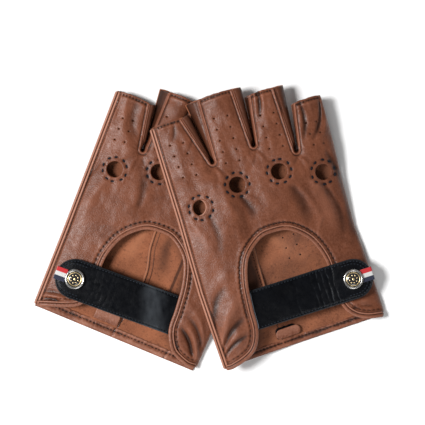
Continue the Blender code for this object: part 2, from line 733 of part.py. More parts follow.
def snap_upper_half(glove, top, steel, badge_finish, carrier):
    """What the strap carries: the cap with its shank, the badge set in it and the socket."""
    lining_bottom = top - STRAP_LEATHER - GAP - LEATHER
    foot = top + SNAP_CLEARANCE
    cap = [
        (0, foot + 1.5), (BADGE_RADIUS + 0.3, foot + 1.5), (BADGE_RADIUS + 0.3, foot + 2.2),
        (BADGE_RADIUS + 0.9, foot + 2.4), (CAP_RADIUS - 0.35, foot + 1.7), (CAP_RADIUS, foot + 0.8),
        (CAP_RADIUS, foot), (SNAP_SHANK_RADIUS, foot), (SNAP_SHANK_RADIUS, lining_bottom), (0, lining_bottom),
    ]
    turned(glove, "snap_cap", cap, glove.snap, steel, carrier, steps=28)
    seat = foot + 1.5 + SNAP_CLEARANCE
    badge = [
        (0, seat + 0.75), (BADGE_RADIUS * 0.6, seat + 0.65), (BADGE_RADIUS, seat + 0.4),
        (BADGE_RADIUS, seat), (0, seat),
    ]
    turned(glove, "snap_badge", badge, glove.snap, badge_finish, carrier)
    high, low = lining_bottom - SNAP_CLEARANCE, lining_bottom - 1.5
    socket = [(2.1, high), (4.9, high), (4.9, low + 0.5), (4.4, low), (2.1, low), (2.1, high)]
    turned(glove, "snap_socket", socket, glove.snap, steel, carrier, steps=20)


def snap_lower_half(glove, steel):
    """What the glove carries: the stud with its shank, and the eyelet that clamps it inside."""
    base = SEAT_TOP + SNAP_CLEARANCE
    inner = SEAT_TOP - LEATHER - SNAP_CLEARANCE
    stud = [
        (0, base + 1.9), (1.4, base + 1.9), (1.75, base + 1.5), (1.4, base + 0.6), (1.6, base + 0.4),
        (4.6, base + 0.35), (4.6, base), (SNAP_SHANK_RADIUS, base), (SNAP_SHANK_RADIUS, inner - 0.6),
        (0, inner - 0.6),
    ]
    turned(glove, "snap_stud", stud, glove.snap, steel, steps=20)
    ring = [
        (SNAP_HOLE_RADIUS, inner), (4.2, inner), (4.2, inner - 0.6), (SNAP_HOLE_RADIUS, inner - 0.6),
        (SNAP_HOLE_RADIUS, inner),
    ]
    turned(glove, "snap_eyelet", ring, glove.snap, steel, steps=20)


def make_glove(glove, finishes):
    leather, suede, black = finishes["leather"], finishes["inside"], finishes["strap"]
    back_panel(glove, leather)
    palm_panels(glove, suede)
    fourchettes(glove, leather)
    opening_binding(glove, leather)
    side_pipings(glove, leather)
    hem_band(glove, leather)
    pull_tab(glove, leather, black)
    thumb(glove, leather)
    strap(glove, black, black, finishes["ribbon"], finishes["steel"], finishes["badge"])
    snap_lower_half(glove, finishes["steel"])


clear_scene()
GLOVES = bpy.data.collections.new("driving_gloves")
bpy.context.scene.collection.children.link(GLOVES)
FINISHES = make_materials()
for each_glove in (LEFT, RIGHT):
    make_glove(each_glove, FINISHES)
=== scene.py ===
"""Looks for a pair of fingerless leather driving gloves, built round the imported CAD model.

Each glove is drawn on its own flat pattern, in millimetres, as its CAD parts are: u runs across the
hand from the thumb side (-u) to the little finger's side (+u), v runs from the cuff's hem to the
fingertips, and w is the height above the table. Glove.place() gives world metres.
"""

import math

import bpy
import numpy as np
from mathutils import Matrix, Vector, noise
from mathutils.geometry import delaunay_2d_cdt
from mathutils.kdtree import KDTree


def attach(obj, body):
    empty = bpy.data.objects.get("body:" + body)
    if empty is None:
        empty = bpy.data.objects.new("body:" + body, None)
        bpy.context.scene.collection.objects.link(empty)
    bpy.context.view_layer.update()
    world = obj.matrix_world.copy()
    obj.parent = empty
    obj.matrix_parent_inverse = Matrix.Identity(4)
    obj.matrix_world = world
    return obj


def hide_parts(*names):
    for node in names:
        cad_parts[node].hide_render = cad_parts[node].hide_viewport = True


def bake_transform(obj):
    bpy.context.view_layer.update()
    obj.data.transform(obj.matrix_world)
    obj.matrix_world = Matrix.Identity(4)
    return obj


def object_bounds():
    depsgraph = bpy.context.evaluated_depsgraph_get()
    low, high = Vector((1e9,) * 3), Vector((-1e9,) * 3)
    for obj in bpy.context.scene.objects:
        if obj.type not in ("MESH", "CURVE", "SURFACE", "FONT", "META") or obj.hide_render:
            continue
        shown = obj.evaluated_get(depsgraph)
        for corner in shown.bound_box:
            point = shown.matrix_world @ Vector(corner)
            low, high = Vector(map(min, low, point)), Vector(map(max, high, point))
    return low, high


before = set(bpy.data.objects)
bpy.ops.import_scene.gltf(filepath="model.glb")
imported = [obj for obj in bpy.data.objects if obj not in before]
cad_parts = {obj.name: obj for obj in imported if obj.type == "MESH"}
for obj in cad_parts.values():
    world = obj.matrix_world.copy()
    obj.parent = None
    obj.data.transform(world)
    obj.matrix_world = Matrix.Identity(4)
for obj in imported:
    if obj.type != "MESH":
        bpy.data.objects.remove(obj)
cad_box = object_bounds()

MM = 0.001

# The pattern, as in the CAD model.
LEATHER = 1.0
GAP = 0.35
FINGERS = ("index", "middle", "ring", "little")
KNUCKLES = ((-36.3, 102.0), (-9.7, 108.7), (18.5, 108.3), (45.5, 99.0))
KNUCKLE_HOLE_RADIUS = 5.2
BACK_SLITS = ((-30.5, (-20.0, 126.0), -16.5), (6.5, (8.5, 128.0), 15.5), (32.0, (33.5, 116.0), 41.0))
PALM_SLITS = ((-26.2, (-20.6, 127.5), -25.2), (11.6, (9.0, 130.0), 12.6), (38.8, (34.4, 118.0), 39.8))
BACK_SLIT_RADIUS = 1.6
PALM_SLIT_RADIUS = 0.5
OPENING_EDGE = (
    (-50.0, -1.6), (-41.0, 0.6), (-33.0, 5.0), (-28.6, 14.0), (-27.6, 30.0), (-26.6, 46.0),
    (-20.5, 63.0), (-8.5, 73.0), (2.0, 74.6), (13.0, 72.2), (24.0, 62.0), (29.6, 48.0),
    (31.0, 32.0), (31.8, 15.0), (36.5, 6.6), (44.0, 2.2), (51.5, 0.4),
)
THUMB_HOLE = (-37.0, 62.0, 8.0, 15.0)
HAND_SPACE = 7.6
PADDING = 0.55
FINGERTIP_V = 165.0
VALLEY_WIDTH = 4.5
VALLEY_SHARE = 0.28
TOP_SEAM_CURL = 2.2
UNDER_SEAM_CURL = 0.4
THUMB_HEIGHT = 3.0
THUMB_RISE = THUMB_HEIGHT + 0.4
THUMB_LEATHER = 0.7
STACK_RISE = 12.9
FINGER_STACK_RISE = 9.7
STACK_SLOPE = 58.0
PRESSED_SHARE = 0.8
HEM_TOP = 4.2
TAB_WIDTH = 16.4
TAB_BOTTOM = 4.95
STRAP_WIDTH = 26.0
STRAP_LENGTH = 78.4
STRAP_START = -3.6
STRAP_THICKNESS = 2.55
SNAP_FROM_TIP = 13.0
STRAP_PROFILE = (
    (-40.0, 7.4), (-24.0, 7.6), (-10.0, 9.0), (5.0, 10.2), (25.0, 10.9), (41.5, 11.2), (60.0, 11.0),
)
STRAP_ROOT_LENGTH = 8.0
CAP_RADIUS = 6.35
BADGE_RADIUS = 4.7
SNAP_SHANK_RADIUS = 1.3
SNAP_SEAT_RADIUS = 6.5
SEAT_TOP = 8.7
BINDING_RADIUS = 1.1
RIBBON_WIDTH = 8.6
RIBBON_THICKNESS = 0.5
# Creases across the strap: how far along it each one lies, and how deep it is.
STRAP_CREASES = (
    (27.0, 0.08), (39.5, 0.12), (43.2, 0.16), (45.8, 0.12), (49.6, 0.20), (53.0, 0.14),
)
THUMB_WIDTH = 31.0
THUMB_START = 39.0
THUMB_END = 108.0
THUMB_U = -37.0

# How finely the leather is modelled, in millimetres.
BACK_STEP = 1.0
PALM_STEP = 1.5
STRAP_STEP = 1.3
EDGE_STEP = 1.1
EDGE_RINGS = (0.15, 0.45, 0.8, 1.2, 1.6, 2.0, 2.4, 2.8, 3.2, 3.7, 4.3)
HOLE_RINGS = (0.15, 0.4, 0.8, 1.2, 1.7, 2.1, 2.5, 2.9, 3.4, 4.0, 4.8)

# Perforations in the fingers and the palm.
PERFORATION_RADIUS = 0.5
FINGER_ROWS = (4, 5, 4, 3)
FINGER_ROW_PITCH = 7.4
FIRST_ROW_FROM_END = 14.8
ROW_HALF_WIDTHS = (4.3, 4.4, 4.4, 3.3)
PALM_PERFORATIONS = [(u, v) for u in (7.6, 15.0) for v in (53.0, 60.0, 67.0)]

# Seams and stitches.
STRIP_SHIFT = 1.0  # how far the bound edge is off the cut edge, towards the little finger
STRIP_OUTER_STITCH = 3.0
OUTER_STITCH_PITCH = 3.2
END_STITCH_PITCH = 2.1
END_STITCH_INSET = 1.7
KNUCKLE_STITCHES = 10
KNUCKLE_STITCH_RADIUS = 7.9
SEAM_WIDTH = 3.4
HEM_STITCH_PITCH = 2.4
FOLD_SCALE = 1.35


# Curves and outlines on the pattern, as arrays of (u, v).


def smoothstep(x, low, high):
    """0 below low, 1 above high and a smooth rise between them; low may be the larger."""
    t = np.clip((np.asarray(x, float) - low) / (high - low), 0, 1)
    return t * t * (3 - 2 * t)


def ridge(x, centre, width):
    """A rounded ridge of height 1."""
    return np.exp(-(((np.asarray(x) - centre) / width) ** 2))


def spline(points, step):
    """Points about step apart on a smooth curve through points."""
    knots = [np.array(p, float) for p in points]
    ends = [2 * knots[0] - knots[1], *knots, 2 * knots[-1] - knots[-2]]
    out = []
    for a, b, c, d in zip(ends, ends[1:], ends[2:], ends[3:]):
        count = max(1, round(np.linalg.norm(c - b) / step))
        for t in np.arange(count) / count:
            out.append(
                0.5 * (2 * b + (c - a) * t + (2 * a - 5 * b + 4 * c - d) * t**2
                       + (3 * b - a - 3 * c + d) * t**3)
            )
    out.append(knots[-1])
    return np.array(out)


def line(a, b, step=EDGE_STEP):
    """Points about step apart from a to b, without b."""
    a, b = np.array(a, float), np.array(b, float)
    count = max(1, round(np.linalg.norm(b - a) / step))
    return a + (b - a) * (np.arange(count) / count)[:, None]


def arc(centre, radius, start, end, count):
    turns = np.radians(np.linspace(start, end, count + 1))
    return np.array(centre) + radius * np.stack([np.cos(turns), np.sin(turns)], 1)


def circle(centre, radius, count):
    return arc(centre, radius, 0, 360, count)[:-1]


def resample(path, step):
    """The path again, with its points evenly spaced and about step apart."""
    path = np.asarray(path, float)
    lengths = np.concatenate([[0], np.cumsum(np.linalg.norm(np.diff(path, axis=0), axis=1))])
    count = max(2, round(lengths[-1] / step) + 1)
    at = np.linspace(0, lengths[-1], count)
    return np.stack([np.interp(at, lengths, path[:, k]) for k in range(path.shape[1])], 1)


def tangents(path):
    along = np.gradient(np.asarray(path, float), axis=0)
    return along / np.maximum(1e-9, np.linalg.norm(along, axis=1))[:, None]


def offset_path(path, distance):
    """The open path moved to its left by distance."""
    along = tangents(path)
    return path + distance * np.stack([-along[:, 1], along[:, 0]], 1)


def offset_loop(loop, distance):
    """The closed loop moved inwards by distance."""
    after, before = np.roll(loop, -1, axis=0), np.roll(loop, 1, axis=0)
    along = after - before
    along /= np.maximum(1e-9, np.linalg.norm(along, axis=1))[:, None]
    area = np.sum(loop[:, 0] * after[:, 1] - after[:, 0] * loop[:, 1])
    return loop + math.copysign(distance, area * distance) * np.stack([-along[:, 1], along[:, 0]], 1)


def inside(points, loop):
    """Which points are inside a closed polygon."""
    points, loop = np.asarray(points, float), np.asarray(loop, float)
    after = np.roll(loop, -1, axis=0)
    rise = np.where(after[:, 1] == loop[:, 1], 1.0, after[:, 1] - loop[:, 1])
    result = np.zeros(len(points), bool)
    batch = 4000
    for k in range(0, len(points), batch):
        x, y = points[k:k + batch, 0:1], points[k:k + batch, 1:2]
        crosses = (loop[:, 1] > y) != (after[:, 1] > y)
        at = loop[:, 0] + (y - loop[:, 1]) * (after[:, 0] - loop[:, 0]) / rise
        result[k:k + batch] = (np.sum(crosses & (x < at), axis=1) % 2).astype(bool)
    return result


class Near:
    """Distances from points to the nearest of some paths."""

    def __init__(self, *paths, closed=False, step=0.25):
        samples = []
        for path in paths:
            path = np.vstack([path, path[:1]]) if closed else np.asarray(path, float)
            samples.append(resample(path, step) if step else path)
        samples = np.vstack(samples)
        self.tree = KDTree(len(samples))
        for k, (a, b) in enumerate(samples):
            self.tree.insert((a, b, 0), k)
        self.tree.balance()

    def __call__(self, u, v):
        return np.array([self.tree.find((a, b, 0))[2] for a, b in zip(u, v)])


def fractal(u, v, seed, octaves=3):
    u, v = np.broadcast_arrays(u, v)
    values = [noise.fractal(Vector((a, b, seed)), 1.0, 2.0, octaves) for a, b in zip(u.flat, v.flat)]
    return np.array(values).reshape(u.shape)


# The gloves.


class Glove:
    """One glove: where it lies and how its leather is shaped, as in the CAD model."""

    def __init__(self, side, origin, yaw_degrees, finger_ends, thumb_edge, little_edge,
                 top_seam_on_thumb_side, strap_start, strap_turn, tab_u, tab_top, hem_bottom, hem_joints,
                 hem_shade, palm_seam, opening_edge, flap_shift, creases, palm_creases, strap_sheen,
                 strap_creasing, seed):
        self.side = side
        self.hand = 1 if side == "right" else -1
        self.origin = origin
        self.yaw = math.radians(yaw_degrees)
        self.finger_ends = finger_ends
        self.thumb_edge = thumb_edge
        self.little_edge = little_edge
        self.top_seam_on_thumb_side = top_seam_on_thumb_side
        self.strap_start = strap_start
        self.strap_turn = math.radians(strap_turn)
        self.tab_u = tab_u
        self.tab_top = tab_top
        self.hem_bottom = hem_bottom
        self.hem_joints = hem_joints
        self.hem_shade = hem_shade  # how much darker the leather is along the hem
        self.palm_seam = palm_seam
        self.opening_edge = opening_edge
        self.flap_shift = flap_shift  # how far the thumb flap's lower corner lies off its CAD outline
        self.strap_sheen = strap_sheen  # where along the strap a painted sheen band lies, and how strong it is
        self.strap_creasing = strap_creasing
        self.creases = creases
        self.palm_creases = palm_creases
        self.seed = seed
        self.snap = tuple(self.strap_points([(STRAP_LENGTH - SNAP_FROM_TIP, 0.0)])[0])
        self.body = f"{side}_glove"
        self.strap_body = f"{side}_closing_strap"

    def name(self, part):
        return f"{self.side}_{part}"

    def flat(self, u, v):
        """World x and y, in millimetres."""
        u = np.asarray(u, float) * self.hand
        c, s = math.cos(self.yaw), math.sin(self.yaw)
        return self.origin[0] + u * c - v * s, self.origin[1] + u * s + v * c

    def place(self, u, v, w):
        """World points, in metres."""
        u, v, w = np.broadcast_arrays(np.asarray(u, float), v, w)
        x, y = self.flat(u, v)
        return np.stack([x, y, w + self.stack_rise(x, y)], -1) * MM

    def stack_rise(self, x, y):
        """How far the left glove underneath raises this one."""
        if self.side == "left":
            return np.zeros_like(x)
        rise = STACK_RISE + (FINGER_STACK_RISE - STACK_RISE) * smoothstep(y, 25, 75)
        return rise * (1 - smoothstep(distance_past(LEFT_THUMB_SIDE, x, y), 0, STACK_SLOPE))

    def pressed(self, x, y):
        """Share of the hand space that is left under the other glove."""
        if self.side == "right":
            return np.ones_like(x)
        covered = distance_past(RIGHT_THUMB_SIDE, x, y)
        return PRESSED_SHARE + (1 - PRESSED_SHARE) * smoothstep(covered, 0, -70)

    def edges(self, v):
        """The silhouette's u on the thumb side and on the little finger's side."""
        return np.interp(v, *zip(*self.thumb_edge)), np.interp(v, *zip(*self.little_edge))

    def across(self, u, v):
        low, high = self.edges(v)
        return (2 * u - low - high) / (high - low)

    def thumb_rise(self, u, v):
        return THUMB_RISE * smoothstep(u, -9, -20) * smoothstep(v, 10, 34) * smoothstep(v, 128, 112)

    def palm_height(self, u, v):
        """Underside of the palm's leather."""
        t = self.across(u, v)
        curl = np.maximum(0.0, (np.abs(t) - 0.86) / 0.14)
        seam_on_top = (t < 0) == self.top_seam_on_thumb_side
        return np.where(seam_on_top, TOP_SEAM_CURL, UNDER_SEAM_CURL) * curl**2 + self.thumb_rise(u, v)

    def back_height(self, u, v):
        """Underside of the back's leather."""
        t = np.minimum(1.0, np.abs(self.across(u, v)))
        space = HAND_SPACE * np.sqrt(1 - t**5) * self.pressed(*self.flat(u, v))
        for left, fork, right in BACK_SLITS:
            share = (v - fork[1]) / (FINGERTIP_V - fork[1])
            centre = fork[0] + ((left + right) / 2 - fork[0]) * share
            half = (right - left) / 2 * np.maximum(0.0, share)
            near = np.maximum(0.0, np.abs(u - centre) - half) / VALLEY_WIDTH
            depth = VALLEY_SHARE * np.exp(-near**2) * smoothstep(v, fork[1] - 14, fork[1] + 4)
            space = space * (1 - depth)
        height = LEATHER + PADDING + space + self.thumb_rise(u, v)
        from_snap = np.hypot(u - self.snap[0], v - self.snap[1])
        seat = smoothstep(from_snap, 2 * SNAP_SEAT_RADIUS, SNAP_SEAT_RADIUS + 0.5)
        height = height + seat * (SEAT_TOP - LEATHER - height)
        along, aside = u - self.strap_start[0], np.abs(v - self.strap_start[1])
        over_root = smoothstep(along, -26, -10) * smoothstep(along, 20, 4) * smoothstep(aside, 28, 14)
        root_top = self.strap_height(self.strap_start[0]) + 2 * LEATHER
        clearance = root_top + BINDING_RADIUS - LEATHER / 2 + GAP + 0.1
        return height + over_root * np.maximum(0.0, clearance - height)

    def back_top(self, u, v):
        """The upper side of the back's leather, without its folds."""
        return self.back_height(u, v) + LEATHER

    def palm_top(self, u, v):
        return self.palm_height(u, v) + LEATHER

    def strap_points(self, points):
        """Pattern points from distances along the strap and to its left."""
        c, s = math.cos(self.strap_turn), math.sin(self.strap_turn)
        along, aside = np.asarray(points, float).T
        return np.stack([self.strap_start[0] + along * c - aside * s,
                         self.strap_start[1] + along * s + aside * c], 1)

    def strap_height(self, u):
        """Underside of the strap's lining."""
        return np.interp(u, *spline(STRAP_PROFILE, 2.0).T)


def distance_past(side_line, x, y):
    """How far a world point, in millimetres, lies to the right of a line on the table."""
    (x0, y0), (x1, y1) = side_line
    return ((x - x0) * (y1 - y0) - (y - y0) * (x1 - x0)) / math.dist(*side_line)


# Folds in the leather: from, to, half width and height, which is below 0 for a valley.
FORK_CREASES = (
    ((-20, 124), (-14, 116), 0.9, -0.30), ((-20, 124), (-18, 112), 1.3, 0.25),
    ((-21, 124), (-24, 108), 1.4, -0.25), ((8.5, 126), (2, 116), 1.0, -0.30),
    ((8.5, 126), (8, 108), 2.2, 0.30), ((9, 126), (15, 117), 1.0, -0.30),
    ((33.5, 114), (27, 109), 0.9, -0.28), ((34, 114), (36, 100), 1.6, 0.25),
    ((34, 114), (42, 104), 1.2, -0.25),
)
RIGHT_CREASES = FORK_CREASES + (
    ((-53, 6), (-32, 15), 1.3, -1.00), ((-53, 7), (-31, 20), 1.9, 0.75), ((-53, 9), (-31, 27), 1.8, -0.90),
    ((-52, 12), (-27, 43), 3.2, 1.00), ((-53, 26), (-38, 52), 3.0, -0.75), ((-52, 36), (-30, 60), 3.0, 0.35),
    ((20.8, 168), (17, 144), 1.2, -1.10), ((23.5, 168), (20, 146), 1.5, 0.55),
    ((17.6, 166), (16.2, 150), 1.0, 0.5),
    ((58, 144), (46, 121), 1.0, -0.85), ((60, 138), (50, 119), 1.6, 0.55),
    ((45, 147), (39, 121), 1.3, -0.80), ((50, 146), (47, 128), 1.8, 0.35),
    ((-36, 160), (-41, 147), 1.3, -0.45), ((-27, 148), (-34, 138), 1.0, -0.28),
    ((-10, 101), (-6, 84), 2.6, -0.60), ((-20, 100), (-15, 82), 3.0, 0.40),
    ((36, 98), (40, 60), 5.0, 0.80), ((22, 98), (27, 70), 4.5, -0.45), ((28, 94), (33, 64), 2.2, 0.55),
    ((43, 92), (45, 52), 2.4, -0.70), ((30, 62), (39, 74), 1.0, 0.30), ((2, 102), (7, 80), 4.0, 0.45),
    ((52, 110), (50, 48), 2.6, -0.60), ((35, 12), (54, 8), 1.3, 0.50), ((34, 9), (53, 4), 1.1, -0.45),
    ((-46, 96), (-40, 62), 4.0, 0.50), ((-33, 96), (-36, 66), 3.0, -0.35),
)
LEFT_CREASES = FORK_CREASES + (
    ((-47, 6), (-31, 22), 1.4, -1.00), ((-50, 7), (-35, 25), 1.9, 0.95), ((-50, 14), (-33, 30), 1.9, -0.60),
    ((-49, 21), (-30, 37), 2.2, 0.60), ((-38, 4), (-30, 12), 1.2, -0.40),
    ((40, 11), (61, 7), 1.3, -0.60), ((42, 14), (61, 11), 1.5, 0.55),
    ((44, 6), (60, 2.5), 1.2, -0.60), ((42, 8.5), (60, 4.5), 1.3, 0.50),
    ((56, 146), (38, 110), 3.0, 0.55), ((49, 148), (39, 116), 3.2, -0.40), ((22, 82), (33, 112), 3.0, -0.40),
    ((48, 92), (50, 52), 4.0, 0.50), ((56, 100), (55, 40), 2.0, -0.35), ((13, 160), (15, 138), 1.6, -0.5),
)
# The wide valleys on the thumb side of each palm, ((-19, 34), (-21, 66)) and ((-23.5, 76), (-23.5, 20)),
# darken it there: painted shade.
RIGHT_PALM_CREASES = (((-2, 73), (20, 45), 5.0, 0.35), ((20, 68), (4, 44), 4.0, -0.25),
                      ((-19, 34), (-21, 66), 4.5, -0.70))
LEFT_PALM_CREASES = (((-18, 78), (-17.6, 20), 0.7, -0.95), ((-23.5, 76), (-23.5, 20), 4.0, -0.15),
                     ((12, 70), (18, 45), 4.0, 0.40),
                     ((-4, 70), (-9, 44), 4.0, -0.35))

RIGHT = Glove(
    side="right",
    origin=(61.3, -71.4),
    yaw_degrees=18.5,
    finger_ends=(160.5, 168.0, 160.5, 146.5),
    thumb_edge=((-2, -55.5), (50, -55.8), (100, -53.5), (162, -52.0)),
    little_edge=((-2, 55.0), (30, 55.0), (60, 54.3), (90, 56.0), (115, 58.2), (148, 60.0)),
    top_seam_on_thumb_side=True,
    strap_start=(-23.4, 28.7),
    strap_turn=-1.1,
    tab_u=-8.0,
    tab_top=11.0,
    hem_bottom=-1.2,
    hem_joints=(),
    hem_shade=0.16,
    opening_edge=OPENING_EDGE,
    flap_shift=1.1,
    strap_sheen=(60.0, 0.0),
    strap_creasing=1.0,
    palm_seam=((-13.4, 3.6), (-13.6, 40.0), (-12.6, 66.0), (-11.0, 86.0), (-20.6, 118.0), (-20.6, 127.0)),
    creases=RIGHT_CREASES,
    palm_creases=RIGHT_PALM_CREASES,
    seed=3.7,
)
LEFT = Glove(
    side="left",
    origin=(-57.2, -70.1),
    yaw_degrees=-22.5,
    finger_ends=(160.0, 162.0, 158.5, 146.8),
    thumb_edge=((-2, -52.5), (50, -53.5), (100, -52.5), (162, -52.0)),
    little_edge=((-2, 61.0), (50, 61.8), (100, 63.2), (148, 64.6)),
    top_seam_on_thumb_side=False,
    strap_start=(-23.4, 26.4),
    strap_turn=-2.3,
    tab_u=14.0,
    tab_top=14.2,
    hem_bottom=-2.6,
    hem_joints=(-30.5, 6.4),
    hem_shade=0.0,
    opening_edge=OPENING_EDGE[:-4] + ((31.8, 16.0), (34.8, 10.4), (42.5, 6.4), (51.5, 3.0)),
    flap_shift=2.2,
    strap_sheen=(11.5, 0.85),
    strap_creasing=0.35,
    palm_seam=((5.0, 3.6), (2.0, 22.0), (1.0, 44.0), (5.4, 64.0), (3.0, 86.0), (-20.6, 118.0),
               (-20.6, 127.0)),
    creases=LEFT_CREASES,
    palm_creases=LEFT_PALM_CREASES,
    seed=11.3,
)
# The sides that cross where one glove lies over the other, as lines from the cuff to the fingers.
LEFT_THUMB_SIDE = (LEFT.flat(-53.0, 0.0), LEFT.flat(-53.0, 160.0))
RIGHT_THUMB_SIDE = (RIGHT.flat(-55.5, 0.0), RIGHT.flat(-52.5, 160.0))


# Materials.


class Shader:
    """A material's node tree, built from its texture coordinates to its surface."""

    def __init__(self, name, roughness=0.5, metallic=0.0, **uniform):
        self.material = bpy.data.materials.new(name)
        self.material.use_nodes = True
        self.tree = self.material.node_tree
        self.surface = self.tree.nodes["Principled BSDF"]
        self.surface.inputs["Roughness"].default_value = roughness
        self.surface.inputs["Metallic"].default_value = metallic
        for socket, value in uniform.items():
            self.surface.inputs[socket.replace("_", " ")].default_value = value
        self.coordinates = self.node("ShaderNodeTexCoord").outputs["Object"]

    def node(self, kind, **settings):
        made = self.tree.nodes.new(kind)
        for name, value in settings.items():
            setattr(made, name, value)
        return made

    def put(self, value, socket):
        """Links a node's output to a socket, or sets the socket to a number or a colour."""
        if isinstance(value, bpy.types.NodeSocket):
            self.tree.links.new(value, socket)
        elif isinstance(value, tuple):
            socket.default_value = (*value, 1)
        else:
            socket.default_value = value

    def noise(self, size, detail=3.0, stretch=None):
        """Noise whose features are about size millimetres across."""
        made = self.node("ShaderNodeTexNoise")
        where = self.coordinates
        if stretch:
            mapping = self.node("ShaderNodeMapping")
            mapping.inputs["Scale"].default_value = stretch
            self.put(where, mapping.inputs["Vector"])
            where = mapping.outputs["Vector"]
        self.put(where, made.inputs["Vector"])
        made.inputs["Scale"].default_value = 1 / (size * MM)
        made.inputs["Detail"].default_value = detail
        return made.outputs["Fac"]

    def cells(self, size):
        made = self.node("ShaderNodeTexVoronoi")
        self.put(self.coordinates, made.inputs["Vector"])
        made.inputs["Scale"].default_value = 1 / (size * MM)
        return made.outputs["Distance"]

    def attribute(self, name):
        return self.node("ShaderNodeAttribute", attribute_name=name).outputs["Fac"]

    def remap(self, value, low, high, to_low=0.0, to_high=1.0):
        made = self.node("ShaderNodeMapRange")
        self.put(value, made.inputs["Value"])
        for socket, number in zip(("From Min", "From Max", "To Min", "To Max"), (low, high, to_low, to_high)):
            made.inputs[socket].default_value = number
        return made.outputs["Result"]

    def maths(self, operation, a, b=0.0):
        made = self.node("ShaderNodeMath", operation=operation)
        self.put(a, made.inputs[0])
        self.put(b, made.inputs[1])
        return made.outputs["Value"]

    def mix(self, share, a, b, blend="MIX"):
        made = self.node("ShaderNodeMix", data_type="RGBA", blend_type=blend)
        self.put(share, made.inputs["Factor"])
        self.put(a, made.inputs["A"])
        self.put(b, made.inputs["B"])
        return made.outputs["Result"]

    def bump(self, height, depth, strength=1.0, under=None):
        """A bump of so many millimetres, over the one under it."""
        made = self.node("ShaderNodeBump")
        made.inputs["Strength"].default_value = strength
        made.inputs["Distance"].default_value = depth * MM
        self.put(height, made.inputs["Height"])
        if under is not None:
            self.put(under, made.inputs["Normal"])
        return made.outputs["Normal"]

    def finish(self, colour, roughness, normal):
        self.put(colour, self.surface.inputs["Base Color"])
        self.put(roughness, self.surface.inputs["Roughness"])
        self.put(normal, self.surface.inputs["Normal"])
        return self.material


def grain_leather(name, dark, middle, light, gloss, grain=0.13, specular=0.27, speckled=0.25):
    """Smooth leather: mottled dye, ridges lightened by wear and by a painted highlight, creases and grooves
    darkened with painted shade, and a fine grain.
    """
    shader = Shader(name, Specular_IOR_Level=specular)
    mottle = shader.remap(shader.noise(15.0, 4.0), 0.34, 0.66)
    colour = shader.mix(mottle, dark, middle)
    speckle = shader.remap(shader.noise(1.3, 4.0), 0.35, 0.75, 0.0, speckled)
    colour = shader.mix(speckle, colour, light)
    # Where the attribute is above 0 the colour goes lighter: partly wear on ridges, partly a painted
    # highlight on beads and slopes.
    worn = shader.remap(shader.attribute("wear"), 0.05, 0.60, 0.0, 0.70)
    colour = shader.mix(worn, colour, light)
    # Where it is below 0 the colour goes dark: painted shade in creases, grooves and stitch holes.
    painted_shade = shader.remap(shader.attribute("wear"), -0.04, -0.45, 0.0, 0.92)
    colour = shader.mix(painted_shade, colour, tuple(0.20 * c for c in dark))
    pores = shader.remap(shader.cells(0.9), 0.0, 0.6)
    normal = shader.bump(shader.noise(4.5, 3.0), 0.4, 0.4)
    normal = shader.bump(pores, grain, 0.7, normal)
    normal = shader.bump(shader.noise(0.5, 2.0), 0.6 * grain, 0.6, normal)
    roughness = shader.remap(shader.noise(3.0, 3.0), 0.3, 0.7, gloss - 0.05, gloss + 0.09)
    return shader.finish(colour, roughness, normal)


def suede(name, dark, middle, light):
    """The flesh side of leather, with a brushed nap."""
    shader = Shader(name, Sheen_Weight=0.25, Sheen_Roughness=0.6, Specular_IOR_Level=0.15)
    colour = shader.mix(shader.remap(shader.noise(12.0, 4.0), 0.34, 0.66), dark, middle)
    nap = shader.remap(shader.noise(0.8, 4.0), 0.3, 0.75)
    colour = shader.mix(shader.maths("MULTIPLY", nap, 0.5), colour, light)
    pits = shader.remap(shader.noise(1.7, 2.0), 0.30, 0.42, 0.5, 0.0)
    colour = shader.mix(pits, colour, tuple(0.4 * c for c in dark))
    # Above 0 the attribute lightens the suede (wear and a painted highlight); below 0 it darkens it with
    # painted shade.
    worn = shader.remap(shader.attribute("wear"), 0.10, 0.60, 0.0, 0.60)
    colour = shader.mix(worn, colour, light)
    painted_shade = shader.remap(shader.attribute("wear"), -0.05, -0.6, 0.0, 0.85)
    colour = shader.mix(painted_shade, colour, tuple(0.25 * c for c in dark))
    normal = shader.bump(shader.noise(2.4, 4.0), 0.35, 0.5)
    normal = shader.bump(shader.noise(0.35, 3.0), 0.12, 0.8, normal)
    return shader.finish(colour, shader.remap(nap, 0.0, 1.0, 0.82, 0.97), normal)


def thread(name, dark, light):
    shader = Shader(name, Specular_IOR_Level=0.12)
    colour = shader.mix(shader.remap(shader.noise(0.35, 2.0), 0.3, 0.7), dark, light)
    roughness = shader.remap(shader.noise(0.6, 2.0), 0.3, 0.7, 0.5, 0.7)
    return shader.finish(colour, roughness, shader.bump(shader.noise(0.25, 1.0), 0.08))


def plated(name, colour, worn, gloss):
    """Plated metal with a little tarnish and fine scratches."""
    shader = Shader(name, metallic=1.0)
    tarnish = shader.remap(shader.noise(1.8, 4.0), 0.35, 0.75, 0.0, 0.6)
    scratches = shader.noise(0.3, 3.0, stretch=(1.0, 6.0, 1.0))
    roughness = shader.remap(scratches, 0.3, 0.7, gloss - 0.06, gloss + 0.1)
    return shader.finish(shader.mix(tarnish, colour, worn), roughness, shader.bump(scratches, 0.012, 0.5))


def enamel(name, dark, light):
    shader = Shader(name, Coat_Weight=0.8, Coat_Roughness=0.08)
    colour = shader.mix(shader.noise(0.8, 2.0), dark, light)
    roughness = shader.remap(shader.noise(0.7), 0.3, 0.7, 0.12, 0.25)
    return shader.finish(colour, roughness, shader.bump(shader.noise(1.2), 0.03, 0.4))


